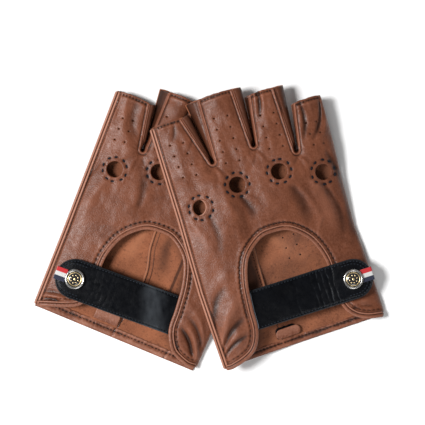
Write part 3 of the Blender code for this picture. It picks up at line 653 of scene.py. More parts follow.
def striped_ribbon(name, low_stripe, middle_stripe, high_stripe):
    """Ribbon in three lengthwise stripes, ribbed across as grosgrain is."""
    rib_pitch = 0.42
    threads_across = 26
    shader = Shader(name, Sheen_Weight=0.2, Sheen_Roughness=0.4)
    across, along = shader.attribute("across"), shader.attribute("along")
    colour = shader.mix(shader.remap(across, 0.335, 0.355), low_stripe, middle_stripe)
    colour = shader.mix(shader.remap(across, 0.645, 0.665), colour, high_stripe)
    ribs = shader.maths("SINE", shader.maths("MULTIPLY", along, 2 * math.pi / rib_pitch))
    threads = shader.maths("SINE", shader.maths("MULTIPLY", across, 2 * math.pi * threads_across))
    # The hollows between the ribs are painted darker: painted shade.
    colour = shader.mix(shader.remap(ribs, 1.0, -1.0, 0.0, 0.35), colour, tuple(0.35 * c for c in low_stripe))
    normal = shader.bump(ribs, 0.05, 0.7, shader.bump(threads, 0.03, 0.5))
    return shader.finish(colour, shader.remap(shader.noise(0.4), 0.3, 0.7, 0.6, 0.8), normal)


def floor_paper():
    shader = Shader("floor_paper")
    colour = shader.mix(shader.noise(60.0, 2.0), (0.93, 0.93, 0.93), (0.95, 0.95, 0.95))
    return shader.finish(colour, 0.9, shader.bump(shader.noise(0.8, 2.0), 0.01, 0.2))


BROWN = grain_leather("brown_grain_leather", (0.108, 0.032, 0.014), (0.160, 0.050, 0.023),
                      (0.33, 0.128, 0.076), 0.39)
# TRIM's light colour is much lighter than BROWN's, for the painted highlights on the beads of the seams and
# the bound edge.
TRIM = grain_leather("brown_trim_leather", (0.125, 0.037, 0.017), (0.180, 0.058, 0.028),
                     (0.45, 0.21, 0.14), 0.37)
SUEDE = suede("palm_suede", (0.15, 0.042, 0.016), (0.26, 0.082, 0.034), (0.38, 0.145, 0.07))
BLACK = grain_leather("black_grain_leather", (0.0008, 0.0010, 0.0018), (0.0018, 0.0022, 0.0036),
                      (0.052, 0.058, 0.066), 0.30, grain=0.05, specular=0.14, speckled=0.03)
CUT_EDGE = grain_leather("cut_leather_edge", (0.12, 0.145, 0.18), (0.22, 0.26, 0.31), (0.40, 0.45, 0.52), 0.6)
BROWN_THREAD = thread("brown_thread", (0.014, 0.006, 0.004), (0.050, 0.020, 0.012))
BLACK_THREAD = thread("black_thread", (0.002, 0.003, 0.005), (0.010, 0.015, 0.024))
STRAP_THREAD = thread("strap_thread", (0.003, 0.004, 0.007), (0.040, 0.050, 0.066))
RIBBON = striped_ribbon("grosgrain_ribbon", (0.010, 0.014, 0.040), (0.72, 0.71, 0.69), (0.58, 0.012, 0.015))
NICKEL = plated("polished_nickel", (0.56, 0.55, 0.53), (0.36, 0.35, 0.33), 0.20)
BRASS = plated("polished_brass", (0.75, 0.60, 0.34), (0.50, 0.36, 0.17), 0.28)
ENAMEL = enamel("black_enamel", (0.006, 0.006, 0.008), (0.018, 0.018, 0.022))


# Meshes.


def closed_mesh(name, points, faces, materials, indices=None, **attributes):
    """An object from a closed surface, with its faces turned outwards."""
    mesh = bpy.data.meshes.new(name)
    mesh.from_pydata(np.asarray(points).tolist(), [], np.asarray(faces).tolist())
    for finish in materials:
        mesh.materials.append(finish)
    if indices is not None:
        mesh.polygons.foreach_set("material_index", np.asarray(indices, np.int32))
    for key, values in attributes.items():
        mesh.attributes.new(key, "FLOAT", "POINT").data.foreach_set("value", np.asarray(values, np.float32))
    if signed_volume(mesh) < 0:
        mesh.flip_normals()
    mesh.shade_smooth()
    obj = bpy.data.objects.new(name, mesh)
    bpy.context.scene.collection.objects.link(obj)
    return obj


def signed_volume(mesh):
    mesh.calc_loop_triangles()
    corners = np.empty(len(mesh.loop_triangles) * 3, np.int32)
    mesh.loop_triangles.foreach_get("vertices", corners)
    points = np.empty(len(mesh.vertices) * 3, np.float32)
    mesh.vertices.foreach_get("co", points)
    a, b, c = points.reshape(-1, 3)[corners.reshape(-1, 3)].transpose(1, 0, 2)
    return float(np.sum(a * np.cross(b, c)))


def ride(obj, body, slot, *nodes):
    """The piece moves with a body and stands for CAD nodes, which it hides; slot is not used."""
    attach(obj, body)
    if nodes:
        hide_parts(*nodes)
    return obj


def fill(loops, step, rings, more=()):
    """Points and triangles that fill an outline with holes. The first loop is the outside."""
    edges, first = [], 0
    for loop in loops:
        edges += [(first + i, first + (i + 1) % len(loop)) for i in range(len(loop))]
        first += len(loop)

    def within(points):
        kept = inside(points, loops[0])
        for hole in loops[1:]:
            kept &= ~inside(points, hole)
        return kept

    clearance = Near(*loops, closed=True)
    points = [np.vstack(loops)]
    furthest = 0.0
    for k, loop in enumerate(loops):
        for ring in rings[k] if isinstance(rings, list) else rings:
            band = offset_loop(loop, ring if k == 0 else -ring)
            if k > 0:
                centre = loop.mean(0)
                radius = np.hypot(*(band - centre).T).mean()
                count = max(len(loop), round(2 * math.pi * radius / EDGE_STEP))
                band = circle(centre, radius, count)
            band = band[within(band)]
            band = band[clearance(*band.T) > 0.93 * ring]
            points.append(band)
            furthest = max(furthest, ring) if k == 0 else furthest
    ringed = np.vstack(points)
    if len(more):
        more = np.asarray(more, float)
        ringed = np.vstack([ringed, more[within(more)]])
    low, high = loops[0].min(0), loops[0].max(0)
    rows = np.arange(low[1], high[1], step * 0.87)
    columns = np.arange(low[0], high[0] + step, step)
    grid = np.array([(c + 0.5 * step * (j % 2), r) for j, r in enumerate(rows) for c in columns])
    grid = grid[within(grid)]
    occupied = KDTree(len(ringed))
    for k, (a, b) in enumerate(ringed):
        occupied.insert((a, b, 0), k)
    occupied.balance()
    free = [occupied.find((a, b, 0))[2] > 0.62 * step for a, b in grid]
    points = np.vstack([ringed, grid[free]])
    enclosed_by_edges = 1
    found = delaunay_2d_cdt([Vector(p) for p in points], edges, [], enclosed_by_edges, 1e-5)
    verts = np.array([tuple(p) for p in found[0]])
    triangles = np.array(found[2])
    middles = verts[triangles].mean(1)
    kept = np.ones(len(triangles), bool)
    for hole in loops[1:]:
        kept &= ~inside(middles, hole)
    return verts, triangles[kept]


def sheet(name, glove, loops, top, thickness, materials, step, rings, rounding=0.5, more=()):
    """A cut piece of leather with rounded edges. top(u, v) gives its upper side and a colour value: wear, and
    painted highlight and shade that follow the relief.
    """
    loops = [np.asarray(loop, float) for loop in loops]
    points, triangles = fill(loops, step, rings, more)
    u, v = points.T
    from_edge = Near(*loops, closed=True)(u, v)
    upper, wear = top(u, v)
    inwards = np.clip(from_edge / rounding, 0, 1)
    half = thickness / 2 * np.sqrt(np.maximum(0, 1 - (1 - inwards) ** 2))
    on_edge = from_edge < 0.02
    half[on_edge] = 0
    middle = upper - thickness / 2
    below = np.arange(len(points))
    inner = np.flatnonzero(~on_edge)
    below[inner] = len(points) + np.arange(len(inner))
    top_points = glove.place(u, v, middle + half)
    bottom_points = glove.place(u, v, middle - half)[inner]
    faces = np.vstack([triangles, below[triangles][:, ::-1]])
    indices = np.repeat([0, len(materials) - 1], len(triangles))
    return closed_mesh(name, np.vstack([top_points, bottom_points]), faces, materials, indices,
                       wear=np.concatenate([wear, np.zeros(len(inner))]))


def strip(name, glove, path, profile, base, finish, wear=None, taper=1.2):
    """A profile of (aside, height) points swept along a path; base(u, v) is what heights count from.

    The profile shrinks over the last taper millimetres at both ends, which rounds them off.
    """
    path = np.asarray(path, float)
    along = tangents(path)
    normal = np.stack([-along[:, 1], along[:, 0]], 1)
    steps = np.linalg.norm(np.diff(path, axis=0), axis=1)
    lengths = np.concatenate([[0], np.cumsum(steps)])
    from_end = np.minimum(lengths, lengths[-1] - lengths)
    size = np.sqrt(np.clip(1 - (1 - np.clip(from_end / taper, 0, 1)) ** 2, 0.02, 1))
    profile = np.array(profile, float)
    middle = profile.mean(0)
    ground = base(*path.T)
    asides = middle[0] + (profile[:, 0] - middle[0]) * size[:, None]
    heights = middle[1] + (profile[:, 1] - middle[1]) * size[:, None]
    where = path[:, None] + normal[:, None] * asides[..., None]
    points = glove.place(where[..., 0], where[..., 1], ground[:, None] + heights).reshape(-1, 3)
    rows, count = len(path), len(profile)
    i, j = np.meshgrid(np.arange(rows - 1), np.arange(count), indexing="ij")
    k = (j + 1) % count
    quads = np.stack([i * count + j, i * count + k, (i + 1) * count + k, (i + 1) * count + j],
                     -1).reshape(-1, 4)
    faces = quads.tolist()
    faces.append(list(range(count))[::-1])
    faces.append([(rows - 1) * count + j for j in range(count)])
    # Unless given, the colour follows the profile's height: painted highlight on top, painted shade low down.
    shown = wear if wear is not None else np.clip((profile[:, 1] - 0.25) * 0.9, -0.6, 0.6)
    return ragged_mesh(name, points, faces, [finish], wear=np.tile(shown, rows))


def ragged_mesh(name, points, faces, materials, **attributes):
    """closed_mesh() for faces with different numbers of corners: it cuts them into triangles."""
    triangles = [(face[0], face[k], face[k + 1]) for face in faces for k in range(1, len(face) - 1)]
    return closed_mesh(name, points, triangles, materials, **attributes)


def shell(name, grid, thickness, materials, wrap=False, rounding=0.35, **attributes):
    """Leather of an even thickness below a grid of world points. wrap closes it into a tube."""
    grid = np.asarray(grid, float)
    rows, columns = grid.shape[:2]
    down = np.gradient(grid, axis=0)
    if wrap:
        along = np.roll(grid, -1, axis=1) - np.roll(grid, 1, axis=1)
    else:
        along = np.gradient(grid, axis=1)
    normal = np.cross(down, along)
    normal /= np.maximum(1e-12, np.linalg.norm(normal, axis=2))[..., None]
    if not wrap and normal[..., 2].mean() < 0:
        normal = -normal
    row_steps = np.linalg.norm(np.diff(grid, axis=0), axis=2).mean(1) / MM
    row_at = np.concatenate([[0], np.cumsum(row_steps)])
    from_edge = np.repeat(np.minimum(row_at, row_at[-1] - row_at)[:, None], columns, 1)
    if not wrap:
        column_steps = np.linalg.norm(np.diff(grid, axis=1), axis=2).mean(0) / MM
        column_at = np.concatenate([[0], np.cumsum(column_steps)])
        from_edge = np.minimum(from_edge, np.minimum(column_at, column_at[-1] - column_at)[None, :])
    half = thickness / 2 * np.sqrt(1 - (1 - np.clip(from_edge / rounding, 0, 1)) ** 2)
    middle = grid - normal * thickness / 2 * MM
    top = (middle + normal * half[..., None] * MM).reshape(-1, 3)
    bottom = (middle - normal * half[..., None] * MM).reshape(-1, 3)
    on_edge = (half == 0).reshape(-1)
    inner = np.flatnonzero(~on_edge)
    below = np.arange(rows * columns)
    below[inner] = rows * columns + np.arange(len(inner))
    i, j = np.meshgrid(np.arange(rows - 1), np.arange(columns if wrap else columns - 1), indexing="ij")
    k = (j + 1) % columns
    quads = np.stack([i * columns + j, i * columns + k, (i + 1) * columns + k, (i + 1) * columns + j], -1)
    quads = quads.reshape(-1, 4)
    faces = np.vstack([quads, below[quads][:, ::-1]])
    indices = np.repeat([0, len(materials) - 1], len(quads))
    values = {key: np.concatenate([np.asarray(v).reshape(-1), np.asarray(v).reshape(-1)[inner]])
              for key, v in attributes.items()}
    return closed_mesh(name, np.vstack([top, bottom[inner]]), faces, materials, indices, **values)


def turned(name, glove, centre, profile, finish, base=0.0, steps=64):
    """A (radius, height) profile, which starts and ends on the axis, turned about a centre."""
    turns = np.radians(np.arange(steps) * 360 / steps)
    rings = np.array([p for p in profile if p[0] > 0], float)
    u = centre[0] + rings[:, :1] * np.cos(turns)
    v = centre[1] + rings[:, :1] * np.sin(turns)
    lift = glove.place(*centre, 0.0)[2] / MM
    x, y = glove.flat(u, v)
    heights = base + lift + np.repeat(rings[:, 1:], steps, 1)
    points = np.stack([x, y, heights], -1).reshape(-1, 3) * MM
    x, y = glove.flat(*centre)
    first, last = profile[0][1], profile[-1][1]
    points = np.vstack([points, [(x * MM, y * MM, (base + lift + w) * MM) for w in (first, last)]])
    faces = []
    for i in range(len(rings) - 1):
        for j in range(steps):
            k = (j + 1) % steps
            faces.append((i * steps + j, i * steps + k, (i + 1) * steps + k, (i + 1) * steps + j))
    top, bottom, end = len(points) - 2, len(points) - 1, (len(rings) - 1) * steps
    for j in range(steps):
        k = (j + 1) % steps
        faces.append((top, k, j))
        faces.append((bottom, end + j, end + k))
    return ragged_mesh(name, points, faces, [finish])


class Stitching:
    """Stitches in one thread, gathered into one piece."""

    RINGS = np.array([-1.0, -0.85, -0.5, 0.0, 0.5, 0.85, 1.0])
    SIDES = 6

    def __init__(self):
        self.points = []

    def add(self, glove, centres, along, length, radius, height, lift=0.12):
        """Stitches at centres: height(u, v) is the leather under them, lift how far they stand out."""
        centres, along = np.asarray(centres, float), np.asarray(along, float)
        along = along / np.linalg.norm(along, axis=1)[:, None]
        aside = np.stack([-along[:, 1], along[:, 0]], 1)
        turns = np.radians(np.arange(self.SIDES) * 360 / self.SIDES)
        thick = radius * np.sqrt(1.03 - self.RINGS**2)
        middles = centres[:, None] + along[:, None] * (self.RINGS * length / 2)[None, :, None]
        ground = height(middles[..., 0].ravel(), middles[..., 1].ravel()).reshape(middles.shape[:2])
        sink = lift * (1 - self.RINGS**2) - 0.9 * radius * self.RINGS**2
        sideways = np.cos(turns)[None, None, :] * thick[None, :, None]
        where = middles[:, :, None] + aside[:, None, None] * sideways[..., None]
        w = (ground + sink)[..., None] + np.sin(turns)[None, None, :] * thick[None, :, None]
        self.points.append(glove.place(where[..., 0], where[..., 1], w).reshape(-1, 3))

    def run(self, glove, path, pitch, length, radius, height, lift=0.12, slant=0.0):
        """A row of stitches along a path, each turned by slant degrees."""
        samples = resample(path, pitch)
        along = tangents(samples)
        c, s = math.cos(math.radians(slant)), math.sin(math.radians(slant))
        turned_along = np.stack([along[:, 0] * c - along[:, 1] * s, along[:, 0] * s + along[:, 1] * c], 1)
        self.add(glove, samples[1:-1], turned_along[1:-1], length, radius, height, lift)

    def build(self, name, finish):
        points = np.vstack(self.points)
        n, rings = self.SIDES, len(self.RINGS)
        one = []
        for i in range(rings - 1):
            one += [(i * n + j, i * n + (j + 1) % n, (i + 1) * n + (j + 1) % n) for j in range(n)]
            one += [(i * n + j, (i + 1) * n + (j + 1) % n, (i + 1) * n + j) for j in range(n)]
        one += [(0, j + 1, j) for j in range(1, n - 1)]
        last = (rings - 1) * n
        one += [(last, last + j, last + j + 1) for j in range(1, n - 1)]
        count = len(points) // (rings * n)
        faces = (np.array(one)[None] + (np.arange(count) * rings * n)[:, None, None]).reshape(-1, 3)
        return closed_mesh(name, points, faces, [finish])


# Outlines on the pattern.


def slit_outline(slit, end_left, end_right, radius, grow=0.0):
    """The edge of the slit between two fingers, from the left finger's end round to the right one's."""
    left, fork, right = slit
    middle = (fork[0], fork[1] + radius)
    bottom = arc(middle, radius + grow, 180, 360, 10)
    left_end, right_end = (left - grow, end_left), (right + grow, end_right)
    return np.vstack([line(left_end, bottom[0]), bottom[:-1], line(bottom[-1], right_end), [right_end]])


def side_path(glove, side, inset, start, end, step=EDGE_STEP):
    """Points up one side of the glove, a distance inside its silhouette."""
    v = np.linspace(start, end, max(2, round(abs(end - start) / step) + 1))
    low, high = glove.edges(v)
    return np.stack([low + inset if side == "thumb" else high - inset, v], 1)


def finger_end(a, b, bulge=0.8):
    """A finger's slightly rounded end, from a to b without either."""
    path = line(a, b)[1:]
    share = np.arange(1, len(path) + 1) / (len(path) + 1)
    waves = 0.35 * fractal(path[:, 0] / 2.6, 0.0, b[0], 2)
    path[:, 1] += (bulge + waves) * (1 - (2 * share - 1) ** 4)
    return path


def fingers_outline(glove, slits, radius, thumb_inset, little_inset, start):
    """From the hem on the thumb side up, round the four fingers and down the other side."""
    ends = glove.finger_ends
    path = side_path(glove, "thumb", thumb_inset, start, ends[0])
    for k, slit in enumerate(slits):
        path = np.vstack([path, finger_end(path[-1], (slit[0], ends[k]))])
        path = np.vstack([path, slit_outline(slit, ends[k], ends[k + 1], radius)])
    far = side_path(glove, "little", little_inset, ends[3], start)
    return np.vstack([path, finger_end(path[-1], far[0]), far])


def seam_insets(glove, on_top, underneath):
    """The insets for the thumb side and the other: one side's seam shows on top, one's is under."""
    return (on_top, underneath) if glove.top_seam_on_thumb_side else (underneath, on_top)


def top_seam_side(glove):
    return "thumb" if glove.top_seam_on_thumb_side else "little"


def finger_end_lines(glove, inset):
    """A line across each finger of the back, a distance below its end."""
    low, high = glove.edges(150.0)
    thumb_inset, little_inset = seam_insets(glove, SEAM_WIDTH, 0.5)
    lefts = [low + thumb_inset, *(slit[2] for slit in BACK_SLITS)]
    rights = [*(slit[0] for slit in BACK_SLITS), high - little_inset]
    paths = []
    for left, right, end in zip(lefts, rights, glove.finger_ends):
        across = np.vstack([line((left + 0.4, end), (right - 0.4, end)), [(right - 0.4, end)]])
        share = np.linspace(-1, 1, len(across))
        across[:, 1] += 0.8 * (1 - share**4) - inset
        paths.append(across)
    return paths


def perforation_centres(glove):
    """Two rows of small holes down each finger of the back."""
    low, high = glove.edges(140.0)
    lefts = [low + 4.5, *(slit[2] for slit in BACK_SLITS)]
    rights = [*(slit[0] for slit in BACK_SLITS), high - 4.5]
    roots = [-36.0, -8.0, 21.0, 49.0]
    centres = []
    for k, end in enumerate(glove.finger_ends):
        for row in range(FINGER_ROWS[k]):
            v = end - FIRST_ROW_FROM_END - FINGER_ROW_PITCH * row
            share = (end - v) / 50.0
            middle = (1 - share) * (lefts[k] + rights[k]) / 2 + share * roots[k]
            for side in (-1, 1):
                centres.append((middle + side * ROW_HALF_WIDTHS[k], v - 0.5 * side))
    return centres


# The relief of the leather.


def crease_relief(creases, u, v, bend=0.09):
    total = np.zeros(len(u))
    for start, end, width, height in creases:
        a, b = np.array(start, float), np.array(end, float)
        length = np.linalg.norm(b - a)
        along = (b - a) / length
        t = (u - a[0]) * along[0] + (v - a[1]) * along[1]
        bow = bend * length * np.sin(np.pi * np.clip(t / length, 0, 1))
        d = (u - a[0]) * -along[1] + (v - a[1]) * along[0] - bow
        fade = smoothstep(t, -0.12 * length, 0.12 * length) * smoothstep(t, 1.2 * length, 0.5 * length)
        spread = width * (0.6 + 0.8 * np.clip(t / length, 0, 1))
        total += FOLD_SCALE * height * fade * ridge(d, 0, spread)
    return total


def crease_points(creases, widest=1.0, spacing=0.6):
    """Points close together along the narrow creases, so that the leather can follow them."""
    rows = [np.empty((0, 2))]
    for start, end, width, _ in creases:
        if width > widest:
            continue
        for aside in (-1.5, -0.8, 0.0, 0.8, 1.5):
            rows.append(offset_path(line(start, end, spacing), aside * width))
    return np.vstack(rows)


def pull_lines(u, v, centre, reach, lobes, seed):
    """Fine puckers that run out from a point where the leather is pulled together."""
    du, dv = u - centre[0], v - centre[1]
    r, turn = np.hypot(du, dv), np.arctan2(dv, du)
    waves = fractal(np.cos(turn) * lobes / 4, np.sin(turn) * lobes / 4, seed + 0.01 * centre[0], 3)
    return waves * ridge(r, 0, reach) * smoothstep(r, 0.5, 3)


def opening_line(glove):
    """The cut edge of the back round the opening. The flap at the thumb lies a little higher."""
    path = spline(glove.opening_edge, EDGE_STEP)
    shift = glove.flap_shift * smoothstep(path[:, 1], 22, 6) * smoothstep(path[:, 0], 0, -5)
    return path + shift[:, None] * (offset_path(path, 1.0) - path)


def bound_line(glove):
    """Where the bound edge runs, round the opening."""
    low, high = glove.edges(0.0)
    thumb_inset, little_inset = seam_insets(glove, on_top=1.4, underneath=0.8)
    cut = opening_line(glove)
    shown = cut[(cut[:, 0] > low + 5) & (cut[:, 0] < high - 4)][::3]
    ends = (low + thumb_inset, shown[0, 1] + 0.4), (high - little_inset, -0.2)
    path = resample(spline((ends[0], *shown, ends[1]), EDGE_STEP), 0.7)
    path[:, 0] += STRIP_SHIFT * smoothstep(path[:, 1], 28, 44)
    return path


def outer_stitch_line(glove):
    return offset_path(bound_line(glove), STRIP_OUTER_STITCH)


def knuckle_stitch_places(centre, k):
    """Where the stitches are round a knuckle hole, and the way each of them points."""
    turns = np.radians(np.arange(KNUCKLE_STITCHES) * 360 / KNUCKLE_STITCHES + 11 * k + 7)
    turns += 0.06 * np.sin(5.3 * turns + k)
    outwards = np.stack([np.cos(turns), np.sin(turns)], 1)
    leaning = turns + 0.25 * np.sin(3.7 * turns + 2 * k)
    return (np.array(centre) + KNUCKLE_STITCH_RADIUS * outwards,
            np.stack([-np.sin(leaning), np.cos(leaning)], 1))


class BackSurface:
    """The upper side of a glove's back, with its folds, seams, turned edges and rims of holes."""

    def __init__(self, glove):
        self.glove = glove
        ends = glove.finger_ends
        self.opening_line = opening_line(glove)
        self.slits = Near(*[
            slit_outline(slit, ends[k], ends[k + 1], BACK_SLIT_RADIUS) for k, slit in enumerate(BACK_SLITS)
        ])
        self.ends = Near(*finger_end_lines(glove, 0.0))
        self.strip = Near(bound_line(glove))
        self.seam = Near(side_path(glove, top_seam_side(glove), SEAM_WIDTH, 0, 160))
        self.outer_stitches = Near(resample(outer_stitch_line(glove), OUTER_STITCH_PITCH), step=None)
        self.end_stitches = Near(*[
            resample(path, END_STITCH_PITCH)[1:-1] for path in finger_end_lines(glove, END_STITCH_INSET)
        ], step=None)
        self.knuckle_stitches = Near(*[
            knuckle_stitch_places(centre, k)[0] for k, centre in enumerate(KNUCKLES)
        ], step=None)
        self.perforations = perforation_centres(glove)

    def __call__(self, u, v):
        """Heights at these points, and a colour value that follows the relief: painted highlight on ridges
        and beads, painted shade in creases, grooves and stitch holes.
        """
        glove = self.glove
        fingers = smoothstep(v, 104, 132)
        seed = glove.seed
        under_strap = self.under_strap(u, v)
        broad = 1.0 * fractal(u / 19, v / 27, seed) * (1 + 0.4 * fingers) * (1 - 0.7 * under_strap)
        broad += 0.34 * fingers * fractal(u / 5, v / 26, seed + 5, 2)
        folds = crease_relief(glove.creases, u, v) * (1 - 0.6 * under_strap)
        fine = 0.12 * fractal(u / 3.5, v / 5.5, seed + 9, 3)
        for _, fork, _ in BACK_SLITS:
            fine += 0.50 * pull_lines(u, v, fork, 12, 16, seed + 20)
        near_slit, near_end = self.slits(u, v), self.ends(u, v)
        near_strip, near_seam = self.strip(u, v), self.seam(u, v)
        edges = 0.40 * ridge(near_slit, 0.75, 0.55) - 0.45 * ridge(near_slit, 1.7, 0.45)
        edges += (0.16 * ridge(near_end, 0.6, 0.5)
                  + 0.22 * ridge(near_end, 3.3, 0.9) * smoothstep(fingers, 0, 1))
        edges -= 0.65 * ridge(self.end_stitches(u, v), 0, 0.8)
        edges += -0.22 * ridge(near_strip, STRIP_OUTER_STITCH, 0.6)
        edges += 0.30 * ridge(near_strip, STRIP_OUTER_STITCH + 0.9, 1.2)
        edges -= (0.30 + 0.35 * smoothstep(v, 18, 40)) * ridge(self.outer_stitches(u, v), 0, 1.0)
        edges += -0.38 * ridge(near_seam, 0.5, 0.45) + 0.14 * ridge(near_seam, 1.8, 0.9)
        for centre in KNUCKLES:
            r = np.hypot(u - centre[0], v - centre[1])
            edges += 0.10 * ridge(r, 6.3, 1.0) + 0.10 * ridge(r, 9.4, 1.2)
            fine += 0.22 * pull_lines(u, v, centre, 13, 22, seed + 50) * smoothstep(r, 5.4, 8.0)
        edges -= 0.55 * ridge(self.knuckle_stitches(u, v), 0, 1.25)
        for centre in self.perforations:
            r = np.hypot(u - centre[0], v - centre[1])
            near = r < 3
            edges[near] -= 0.07 * ridge(r[near], 0.5, 0.7)
        total = broad + folds + fine + edges
        from_snap = np.hypot(u - glove.snap[0], v - glove.snap[1])
        flat = smoothstep(from_snap, SNAP_SEAT_RADIUS, SNAP_SEAT_RADIUS + 7)
        # low darkens the valleys a little more: painted shade in the folds.
        low = np.minimum(0, folds)
        return glove.back_top(u, v) + total * flat, (edges + 0.30 * folds + 0.25 * low + 0.5 * fine) * flat

    def under_strap(self, u, v):
        """1 where the strap lies over the back and 0 away from it."""
        away = np.abs(v - self.glove.strap_start[1])
        return smoothstep(u, 20, 26) * smoothstep(u, 60, 56) * smoothstep(away, 17, 13)

    def height(self, u, v):
        return self(np.asarray(u), np.asarray(v))[0]


# The pieces of one glove.


def back_leather(glove, surface):
    thumb_inset, little_inset = seam_insets(glove, on_top=SEAM_WIDTH, underneath=0.5)
    outline = fingers_outline(glove, BACK_SLITS, BACK_SLIT_RADIUS, thumb_inset, little_inset, 0.6)
    knuckles = [circle(c, KNUCKLE_HOLE_RADIUS, 44) for c in KNUCKLES]
    small = [circle(c, PERFORATION_RADIUS, 10) for c in surface.perforations]
    small.append(circle(glove.snap, SNAP_SHANK_RADIUS + 0.4, 16))
    rings = [EDGE_RINGS] + [HOLE_RINGS] * len(knuckles) + [(0.12, 0.5)] * len(small)
    obj = sheet(
        glove.name("back_leather"), glove,
        [np.vstack([outline, surface.opening_line[::-1]]), *knuckles, *small],
        surface, LEATHER, [BROWN, SUEDE], BACK_STEP, rings,
    )
    ride(obj, glove.body, "brown_leather", glove.name("back_panel"))


def knuckle_facing(glove):
    """The backing of the index finger's knuckle hole, which has slipped and shows as a crescent."""
    centre = (KNUCKLES[0][0] - 2.1, KNUCKLES[0][1] + 0.9)

    def top(u, v):
        # Its inner rim is painted lighter: a painted highlight along the crescent's edge.
        return glove.back_height(u, v) - 0.45, 0.9 * ridge(np.hypot(u - centre[0], v - centre[1]), 5.3, 0.35)

    obj = sheet(glove.name("knuckle_facing"), glove,
                [circle(centre, KNUCKLE_HOLE_RADIUS + 3.2, 56), circle(centre, KNUCKLE_HOLE_RADIUS, 56)],
                top, 0.6, [TRIM], 0.8, (0.12, 0.3, 0.5), 0.3)
    ride(obj, glove.body, "brown_leather")


def palm_loops(glove):
    """Outlines of the two palm panels, which meet in a seam, and the seam. The thumb side panel's hole is
    added in palm_leather().
    """
    insets = seam_insets(glove, on_top=0.9, underneath=2.6)
    outline = fingers_outline(glove, PALM_SLITS, PALM_SLIT_RADIUS, *insets, HEM_TOP - 0.6)
    seam = spline(glove.palm_seam, EDGE_STEP)
    first_fork = int(np.argmin(np.hypot(*(outline - np.array(PALM_SLITS[0][1])).T)))
    thumb_seam, main_seam = offset_path(seam, 0.2), offset_path(seam, -0.2)
    thumb_side = np.vstack([outline[:first_fork - 1], thumb_seam[::-1], line(thumb_seam[0], outline[0])[1:]])
    main_side = np.vstack([outline[first_fork + 2:], line(outline[-1], main_seam[0])[1:], main_seam])
    return thumb_side, main_side, seam


def palm_leather(glove, stitching):
    def top(u, v):
        relief = (0.50 * fractal(u / 16, v / 20, glove.seed + 60)
                  + 0.16 * fractal(u / 4, v / 4, glove.seed + 61))
        folds = crease_relief(glove.palm_creases, u, v, bend=0.0)
        hollow = smoothstep(v, 150, 120)
        # The colour value is folds less shade: painted light on ridges and painted shade in valleys; painted
        # shade beside the opening on the thumb side, where the raised flap shades the palm, and under each
        # knuckle hole; darker towards the hem by hem_shade.
        shade = 0.38 * smoothstep(near_opening(u, v), 8, 1) * smoothstep(u, 10, -10)
        shade = shade + glove.hem_shade * smoothstep(v, 26, 10)
        for centre in KNUCKLES:
            shade = shade + 0.30 * ridge(np.hypot(u - centre[0], v - centre[1]), 0, 7)
        above_table = np.maximum(relief + folds + 0.1, -0.3)
        return glove.palm_top(u, v) + above_table * hollow, folds - shade

    def palm_surface(u, v):
        return top(u, v)[0]

    near_opening = Near(opening_line(glove))
    thumb_side, main_side, seam = palm_loops(glove)
    centre_u, centre_v, half_u, half_v = THUMB_HOLE
    hole = circle((0, 0), 1.0, 60) * (half_u, half_v) + (centre_u, centre_v)
    perforations = []
    if glove.side == "right":
        perforations = [circle(p, PERFORATION_RADIUS, 10) for p in PALM_PERFORATIONS]
    rings = (0.15, 0.45, 0.9, 1.5)
    obj = sheet(glove.name("thumb_side_palm_leather"), glove, [thumb_side, hole], top, LEATHER,
                [SUEDE, BROWN], PALM_STEP, rings, more=crease_points(glove.palm_creases))
    ride(obj, glove.body, "suede_side", glove.name("thumb_side_palm"))
    obj = sheet(glove.name("palm_leather"), glove, [main_side, *perforations], top, LEATHER,
                [SUEDE, BROWN], PALM_STEP, [rings] + [(0.12, 0.5)] * len(perforations))
    ride(obj, glove.body, "suede_side", glove.name("palm_panel"))
    beads = [(-0.8, -0.2), (-0.75, 0.7), (-0.35, 1.4), (0.2, 1.5), (0.6, 1.15), (0.85, 0.5), (1.1, 0.25),
             (2.5, 0.6), (3.2, 0.5), (3.5, -0.1), (1.0, -0.4)]
    lower = seam[(seam[:, 1] > 14) & (seam[:, 1] < 112)]
    # The seam's bead is painted lighter: a painted highlight along its crest.
    shown = np.array([0, 0.2, 0.6, 0.6, 0.3, 0, 0, 0.1, 0.1, 0, 0])
    obj = strip(glove.name("palm_seam"), glove, lower, beads, palm_surface, SUEDE, wear=shown)
    ride(obj, glove.body, "suede_side")
    if glove.side == "right":
        stitching.run(glove, offset_path(lower, 1.75), 2.0, 1.3, 0.20,
                      lambda u, v: palm_surface(u, v) + 0.3, 0.06)


def fourchette_reach(glove, k, share_along, width):
    """How far a finger's side wall bulges into the slit, for the points along the slit's edge.

    One finger's wall reaches further over the slit than its neighbour's. The left glove mirrors this.
    """
    left, right = (0.46, 0.34) if k == 0 else (0.66, 0.08)
    if glove.side == "left":
        left, right = right, left
    return width * (right + (left - right) * smoothstep(share_along, 0.54, 0.46))


